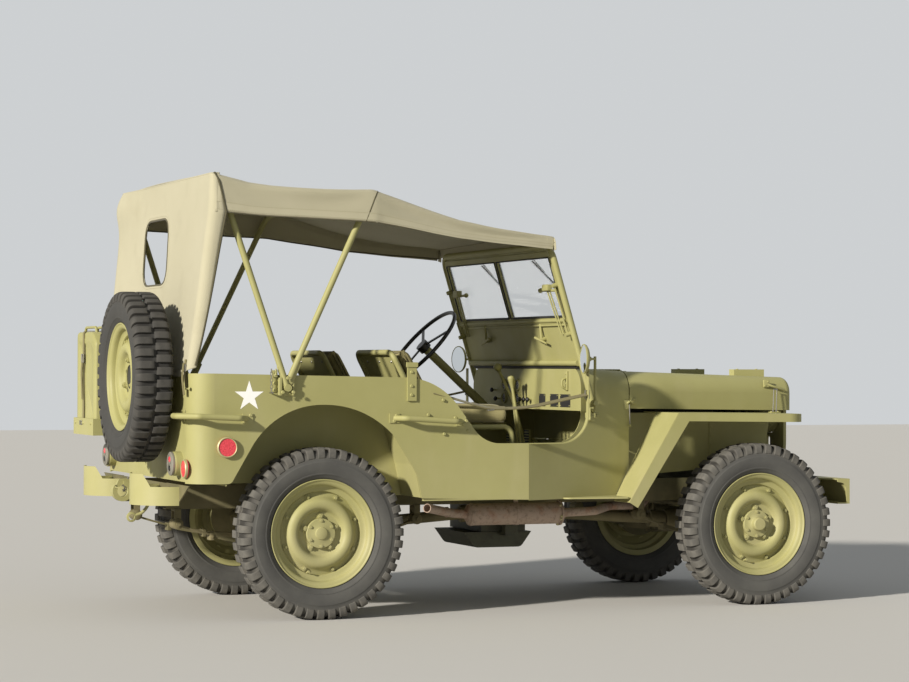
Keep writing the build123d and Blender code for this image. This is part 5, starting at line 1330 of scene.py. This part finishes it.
def hood_catches():
    """The front catch with its springs, the rear one on the cowl's side, and bolts, all on the left side."""
    catches, steel = Batch("hood_catches", OLIVE), Batch("hood_catch_springs", STEEL)
    catches.box(2.205, 2.255, 0.440, 0.470, 0.8425, 0.8475, round_off=0.002)
    catches.heads([(x, 0.455, 0.8470) for x in (2.213, 2.247)], (0, 0, 1), 0.005, 0.004)
    steel.rods([((2.230 + dx, 0.455, 0.847), (2.240 + dx, 0.444, 0.948), 0.0024, 10) for dx in (-0.008, 0.008)])
    steel.rod((2.230, 0.444, 0.949), (2.250, 0.444, 0.949), 0.0030, 10)
    y = 0.5330
    catches.box(1.438, 1.462, y, y + 0.008, 0.862, 0.902, round_off=0.002)
    catches.tube([(1.450, y + 0.010, 0.888), (1.466, y + 0.014, 0.900), (1.488, y + 0.008, 0.906)], 0.0045, 0.008)
    steel.rod((1.462, y + 0.010, 0.884), (1.465, y + 0.010, 0.796), 0.0024, 10)
    catches.ball((1.465, y + 0.010, 0.792), 0.006)
    catches.heads([(1.450, y + 0.006, 0.868)], (0, 1, 0), 0.005, 0.004)
    # The inner panel's joint strip, and the bolts of the fender's legs
    catches.box(1.940, 1.958, 0.3725, 0.3755, 0.640, 0.800)
    catches.heads([(1.949, 0.3750, z) for z in (0.660, 0.700, 0.740, 0.780)], (0, 1, 0), 0.004, 0.003)
    catches.heads([(x, 0.400, 0.8495 - (x - 1.613) * 0.0125) for x in (1.66, 1.80, 1.94, 2.08)], (0, 0, 1),
                  0.006, 0.0035)
    catches.done(mirror_y=True)
    steel.done(mirror_y=True)


def front_lamps():
    """Glass and rims of the headlamps and blackout lamps, and the grille's bolts, all on the left side."""
    glass, rims = Batch("headlamp_lenses", LENS), Batch("headlamp_rims", OLIVE)
    ahead, (y, z) = (1, 0, 0), MARKER_LAMP
    glass.turned([(0.0, 0.0302), (0.020, 0.0292), (0.042, 0.0262), (0.060, 0.0200), (0.072, 0.0120), (0.0775, 0.0095),
                  (0.0, 0.0095)], HEADLAMP, ahead)
    rims.turned([(0.077, 0.009), (0.079, 0.0125), (0.084, 0.0125), (0.0875, 0.007), (0.0875, -0.004), (0.077, -0.004)],
                HEADLAMP, ahead)
    glass.ball((2.345, y, z), 0.019, (0.35, 1, 1))
    rims.turned([(0.019, 0.0), (0.020, 0.005), (0.025, 0.004), (0.0285, -0.004), (0.0285, -0.010), (0.019, -0.010)],
                (2.338, y, z), ahead, 36)
    grille_bolts = [(0.375, 0.620), (0.380, 0.700), (0.385, 0.930), (0.150, 0.972), (0.300, 0.972)]
    rims.heads([(2.322, *p) for p in grille_bolts], ahead, 0.006, 0.004)
    glass.done(40, mirror_y=True)
    rims.done(mirror_y=True)


def underside():
    """Bumper and spring bolts, U-bolts, axle covers' bolts, the tow hook's pin and chain."""
    paint_bolts = Batch("bumper_bolts", OLIVE)
    paint_bolts.bolts([(2.5295, y, z) for y in (0.322, 0.358) for z in (0.470, 0.515)], (1, 0, 0), 0.0085, 0.007)
    paint_bolts.bolts([(-0.590, y, z) for y in (0.265, 0.555) for z in (0.495, 0.535)], (-1, 0, 0), 0.007, 0.006)
    paint_bolts.bolts([(-0.594, 0.042, z) for z in (0.490, 0.546)], (-1, 0, 0), 0.008, 0.006)
    paint_bolts.done(30, mirror_y=True)
    dark = Batch("chassis_bolts", CHASSIS)
    for x in (0.0, FRONT_AXLE):
        for dx in (-0.040, 0.040):
            corners = ((0.312, 0.290), (0.312, 0.404), (0.368, 0.404), (0.368, 0.290))
            dark.tube([(x + dx, *corner) for corner in corners], 0.006, 0.012)
            dark.rods([((x + dx, y, 0.276), (x + dx, y, 0.288), 0.010, 6) for y in (0.312, 0.368)])
    dark.mirror()
    for x, away in ((0.0, -1), (FRONT_AXLE, 1)):
        ring = [math.radians(36 * k) for k in range(10)]
        dark.bolts([(x + away * 0.094, -0.190 + 0.093 * math.cos(a), TYRE_R + 0.093 * math.sin(a)) for a in ring],
                   (away, 0, 0), 0.0075, 0.006)
    dark.done(30)
    chain = Batch("tow_hook_chain", STEEL)
    for k in range(8):
        across = (0, 1, 0) if k % 2 else (1, 0, 0)
        a = math.pi * k / 7
        chain.wire_loop((-0.640 - 0.020 * math.sin(a), 0.030 + 0.004 * k, 0.560 - 0.050 * math.sin(a)),
                        (-math.cos(a) * 0.2, 0.6, -math.cos(a)), across, 0.018, 0.010, 0.0016)
    chain.rod((-0.676, -0.016, 0.536), (-0.676, 0.030, 0.536), 0.005, 12)
    chain.done(30)


def levers():
    """Gear, transfer and hand brake levers with their grips and boots, and the three pedals."""
    made, grips = Batch("levers_and_pedals_finished", OLIVE), Batch("lever_grips", OLIVE)
    boots = Batch("lever_boots", SEAL)
    pear = [(0.0, 0.0), (0.0070, 0.0), (0.0085, 0.012), (0.0120, 0.026), (0.0150, 0.038), (0.0150, 0.044),
            (0.0115, 0.051), (0.0, 0.054)]
    for y, foot, middle, top in [(-0.062, (1.150, 0.672), (1.128, 0.830), (1.106, 0.955)),
                                 (-0.022, (1.150, 0.672), (1.136, 0.820), (1.124, 0.940))]:
        path = [(x, y, z) for x, z in (foot, middle, top)]
        made.tube(path, 0.006, 0.05)
        grips.turned(pear, path[-1], (Vector(path[-1]) - Vector(path[-2])).normalized(), 28)
    made.tube([(1.210, 0.040, 0.680), (1.160, 0.040, 0.880), (1.082, 0.040, 1.028)], 0.007, 0.05)
    grips.ball((1.075, 0.040, 1.046), 0.019)
    for x, y in [(1.150, -0.062), (1.150, -0.022), (1.208, 0.040)]:
        boots.turned([(0.0, 0.664), (0.028, 0.664), (0.026, 0.674), (0.020, 0.682), (0.012, 0.702), (0.0, 0.704)],
                     (x, y, 0.0), (0, 0, 1), 28)
    for y in (0.215, 0.300, 0.430):
        made.box(1.294, 1.302, y - 0.030, y + 0.030, 0.692, 0.758, round_off=0.003)
        made.tube([(1.303, y, 0.724), (1.345, y, 0.700), (1.398, y, 0.642)], 0.008, 0.02)
        for k in range(5):
            boots.box(1.2915, 1.2945, y - 0.026, y + 0.026, 0.698 + 0.0125 * k, 0.7045 + 0.0125 * k)
    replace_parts(made.done(), "levers_and_pedals")
    grips.done(40)
    boots.done()


def mirror_heads():
    """Dished back and silvered face of the left mirror."""
    shells, faces = Batch("mirror_shells", OLIVE), Batch("mirror_faces", MIRROR)
    lean = math.radians(10)
    centre, look = Vector((1.163, 0.732, 1.083)), Vector((-math.cos(lean), -math.sin(lean), 0))
    shells.turned([(0.0, -0.0150), (0.030, -0.0135), (0.050, -0.0095), (0.0605, -0.0030), (0.0635, 0.0030),
                   (0.0635, 0.0080), (0.0600, 0.0090), (0.0590, 0.0062), (0.0, 0.0062)], centre, look, 56)
    shells.ball(centre - look * 0.019, 0.011)
    faces.turned([(0.0, 0.0066), (0.0592, 0.0066), (0.0592, 0.0078), (0.030, 0.0084), (0.0, 0.0086)], centre, look, 56)
    shells.done(mirror_y=True)
    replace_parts(faces.done(mirror_y=True), "mirror_glass")


def spring_fittings():
    """Bushes, pins and rebound clips of the left springs, and the tie-down hook behind the right one."""
    bushes, y = Batch("spring_bushes", CHASSIS), 0.340
    for middle, span in ((0.0, 0.533), (FRONT_AXLE - 0.008, 0.420)):
        for end in (-span, span):
            bushes.turned([(0.0, -0.036), (0.0150, -0.036), (0.0230, -0.031), (0.0230, 0.031), (0.0150, 0.036),
                           (0.0, 0.036)], (middle + end, y, 0.389), (0, 1, 0), 28)
            bushes.bolts([(middle + end, 0.375, 0.389)], (0, 1, 0), 0.0105, 0.009)
            for share in (0.42, 0.72):
                x, z = middle + end * share, 0.298 + 0.091 * share ** 2
                bushes.box(x - 0.009, x + 0.009, y - 0.026, y + 0.026, z - 0.028, z + 0.005, round_off=0.002)
                bushes.bolts([(x, 0.366, z - 0.012)], (0, 1, 0), 0.006, 0.006)
    bushes.done(mirror_y=True)
    hook, y = Batch("tie_down_hook", OLIVE), -0.370
    hook.tube([(-0.655, y, 0.505), (-0.664, y, 0.462), (-0.690, y, 0.436), (-0.716, y, 0.428)], 0.0068, 0.025)
    hook.turned([(0.0125, -0.007), (0.0200, -0.005), (0.0215, 0.0), (0.0200, 0.005), (0.0125, 0.007)],
                (-0.732, y, 0.422), (0, 1, 0), 28)
    hook.done(40)


def seat_panels():
    """Sheet panels welded between the seat frames' tubes, with rolled edges and the pads' press studs."""
    panels, studs = Batch("seat_back_panels", OLIVE), Batch("seat_studs", STEEL)
    for y, back in ((-0.345, 0.330), (0.345, 0.250)):
        (top_x, top_z), (foot_x, foot_z) = (back + 0.019, 1.104), (back + 0.168, 0.806)
        panels.plate([(top_x, y - 0.222, top_z), (top_x, y + 0.222, top_z), (foot_x, y + 0.222, foot_z),
                      (foot_x, y - 0.222, foot_z)], (0.894, 0, 0.447), 0.002)
        panels.rods([((foot_x, y + d, foot_z), (top_x, y + d, top_z), 0.0055, 12) for d in (-0.213, 0.213)])
        panels.rod((foot_x, y - 0.222, foot_z), (foot_x, y + 0.222, foot_z), 0.006, 12)
        stud_x, stud_z = top_x + (foot_x - top_x) * 0.12 - 0.0005, top_z + (foot_z - top_z) * 0.12
        studs.heads([(stud_x, y + d, stud_z) for d in (-0.15, 0.0, 0.15)], (-0.894, 0, -0.447), 0.006, 0.003)
    panels.plate([(-0.304, y, z) for y, z in ((-0.436, 0.982), (0.436, 0.982), (0.436, 0.820), (-0.436, 0.820))],
                 (1, 0, 0), 0.002)
    panels.done(40)
    studs.done(40)


# The silencer's axis: across the car and up
SILENCER = (-0.500, 0.412)


def exhaust_fittings():
    """Clamps, the silencer's end seams and its hangers."""
    bright, seams = Batch("exhaust_clamp_bolts", RIM), Batch("silencer_seams", EXHAUST)
    for x, rows in [(1.144, [(0.0465, -0.004), (0.0540, -0.004), (0.0540, 0.004), (0.0465, 0.004)]),
                    (0.732, [(0.0465, -0.006), (0.0490, -0.004), (0.0490, 0.004), (0.0465, 0.006)]),
                    (0.728, [(0.0, 0.0), (0.0460, 0.0), (0.0400, -0.012), (0.0240, -0.022), (0.0, -0.022)]),
                    (0.940, [(0.0472, -0.010), (0.0488, -0.010), (0.0488, 0.010), (0.0472, 0.010)])]:
        seams.turned(rows, (x, *SILENCER), (1, 0, 0), 40)
    seams.box(0.930, 0.950, -0.502, -0.498, 0.458, 0.505)
    bright.bolts([(0.940, -0.502, 0.474)], (0, -1, 0), 0.0055, 0.007)
    y, z = SILENCER
    clamp = (-2.6, -1.6, -0.6, 0.4, 2.4, 3.4)
    bright.bolts([(1.140, y + 0.0495 * math.cos(a), z + 0.0495 * math.sin(a)) for a in clamp], (-1, 0, 0),
                 0.0045, 0.009)
    for place, axis, half in [((1.165, -0.4975, 0.4125), (1, 0, 0), 0.008),
                              ((0.600, -0.5500, 0.4275), (0.76, -0.64, 0.1), 0.006)]:
        seams.turned([(0.0200, -half), (0.0222, -half), (0.0222, half), (0.0200, half)], place, axis, 28)
    bright.done()
    seams.done()


for make in (body_bolts, bow_chains, door_straps, corner_straps, dash, windscreen_parts, door_lips, bows, fuel_can,
             rear_lamps, hood_hinge, hood_catches, front_lamps, underside, levers, mirror_heads, spring_fittings,
             seat_panels, exhaust_fittings):
    make()


# Markings
def star(centre, radius):
    points = []
    for k in range(10):
        a = math.pi / 2 + k * math.pi / 5
        r = radius if k % 2 == 0 else radius * 0.382
        points.append((centre[0] + r * math.cos(a), centre[1], centre[2] + r * math.sin(a)))
    return points


marks = Batch("side_stars", WHITE)
marks.plate(star((-0.333, 0.7251, 0.925), 0.064), (0, 1, 0), 0.0005)
marks.done(mirror_y=True)


# Floor, camera and light
def stage_floor():
    # Matt pale studio floor
    mat = start("pale_studio_floor", Base_Color=srgb("C9C6BF"), Roughness=0.9)[0]
    bm = bmesh.new()
    bmesh.ops.create_grid(bm, x_segments=1, y_segments=1, size=30)
    new_object("floor", bm, mat)


def photo_camera():
    """The place and direction of the photo, worked out from the wheels' and body's known sizes."""
    yaw, pitch, roll = math.radians(21.41), math.radians(0.54), math.radians(0.16)
    ahead = Vector((math.sin(yaw) * math.cos(pitch), math.cos(yaw) * math.cos(pitch), math.sin(pitch)))
    right = Vector((math.cos(yaw), -math.sin(yaw), 0))
    up = right.cross(ahead)
    right, up = right * math.cos(roll) + up * math.sin(roll), up * math.cos(roll) - right * math.sin(roll)
    data = bpy.data.cameras.new("photo_camera")
    data.lens = 102.09
    data.sensor_width = 36.0
    camera = bpy.data.objects.new("photo_camera", data)
    bpy.context.scene.collection.objects.link(camera)
    turn = Matrix((right, up, -ahead)).transposed().to_4x4()
    camera.matrix_world = Matrix.Translation(at(-3.389, -10.808, 1.054)) @ turn
    bpy.context.scene.camera = camera


def light():
    sun = bpy.data.lights.new("sun", "SUN")
    sun.energy = 5.4
    sun.angle = math.radians(3)
    sun.color = srgb("FFFAF2")[:3]
    lamp = bpy.data.objects.new("sun", sun)
    bpy.context.scene.collection.objects.link(lamp)
    lamp.rotation_mode = "QUATERNION"
    lamp.rotation_quaternion = Vector((0.839, 0.411, -0.357)).to_track_quat("-Z", "Y")
    world = bpy.data.worlds.new("studio")
    bpy.context.scene.world = world
    world.use_nodes = True
    tree = world.node_tree
    sky = tree.nodes["Background"]
    sky.inputs["Color"].default_value = srgb("DDE3EA")
    sky.inputs["Strength"].default_value = 0.37
    # The camera, a mirror and a pane see a paler backdrop than the light that falls on the object
    backdrop = add(tree, "ShaderNodeBackground", {"Color": srgb("D5D8DA"), "Strength": 0.92})
    ray = add(tree, "ShaderNodeLightPath").node.outputs
    seen = add(tree, "ShaderNodeMath", {0: ray["Is Camera Ray"], 1: ray["Is Glossy Ray"]}, operation="MAXIMUM")
    seen = add(tree, "ShaderNodeMath", {0: seen, 1: ray["Is Transmission Ray"]}, operation="MAXIMUM")
    either = add(tree, "ShaderNodeMixShader", {0: seen, 1: sky.outputs[0], 2: backdrop})
    tree.links.new(either, tree.nodes["World Output"].inputs["Surface"])


stage_floor()
photo_camera()
light()
bpy.context.scene.view_settings.view_transform = "Standard"
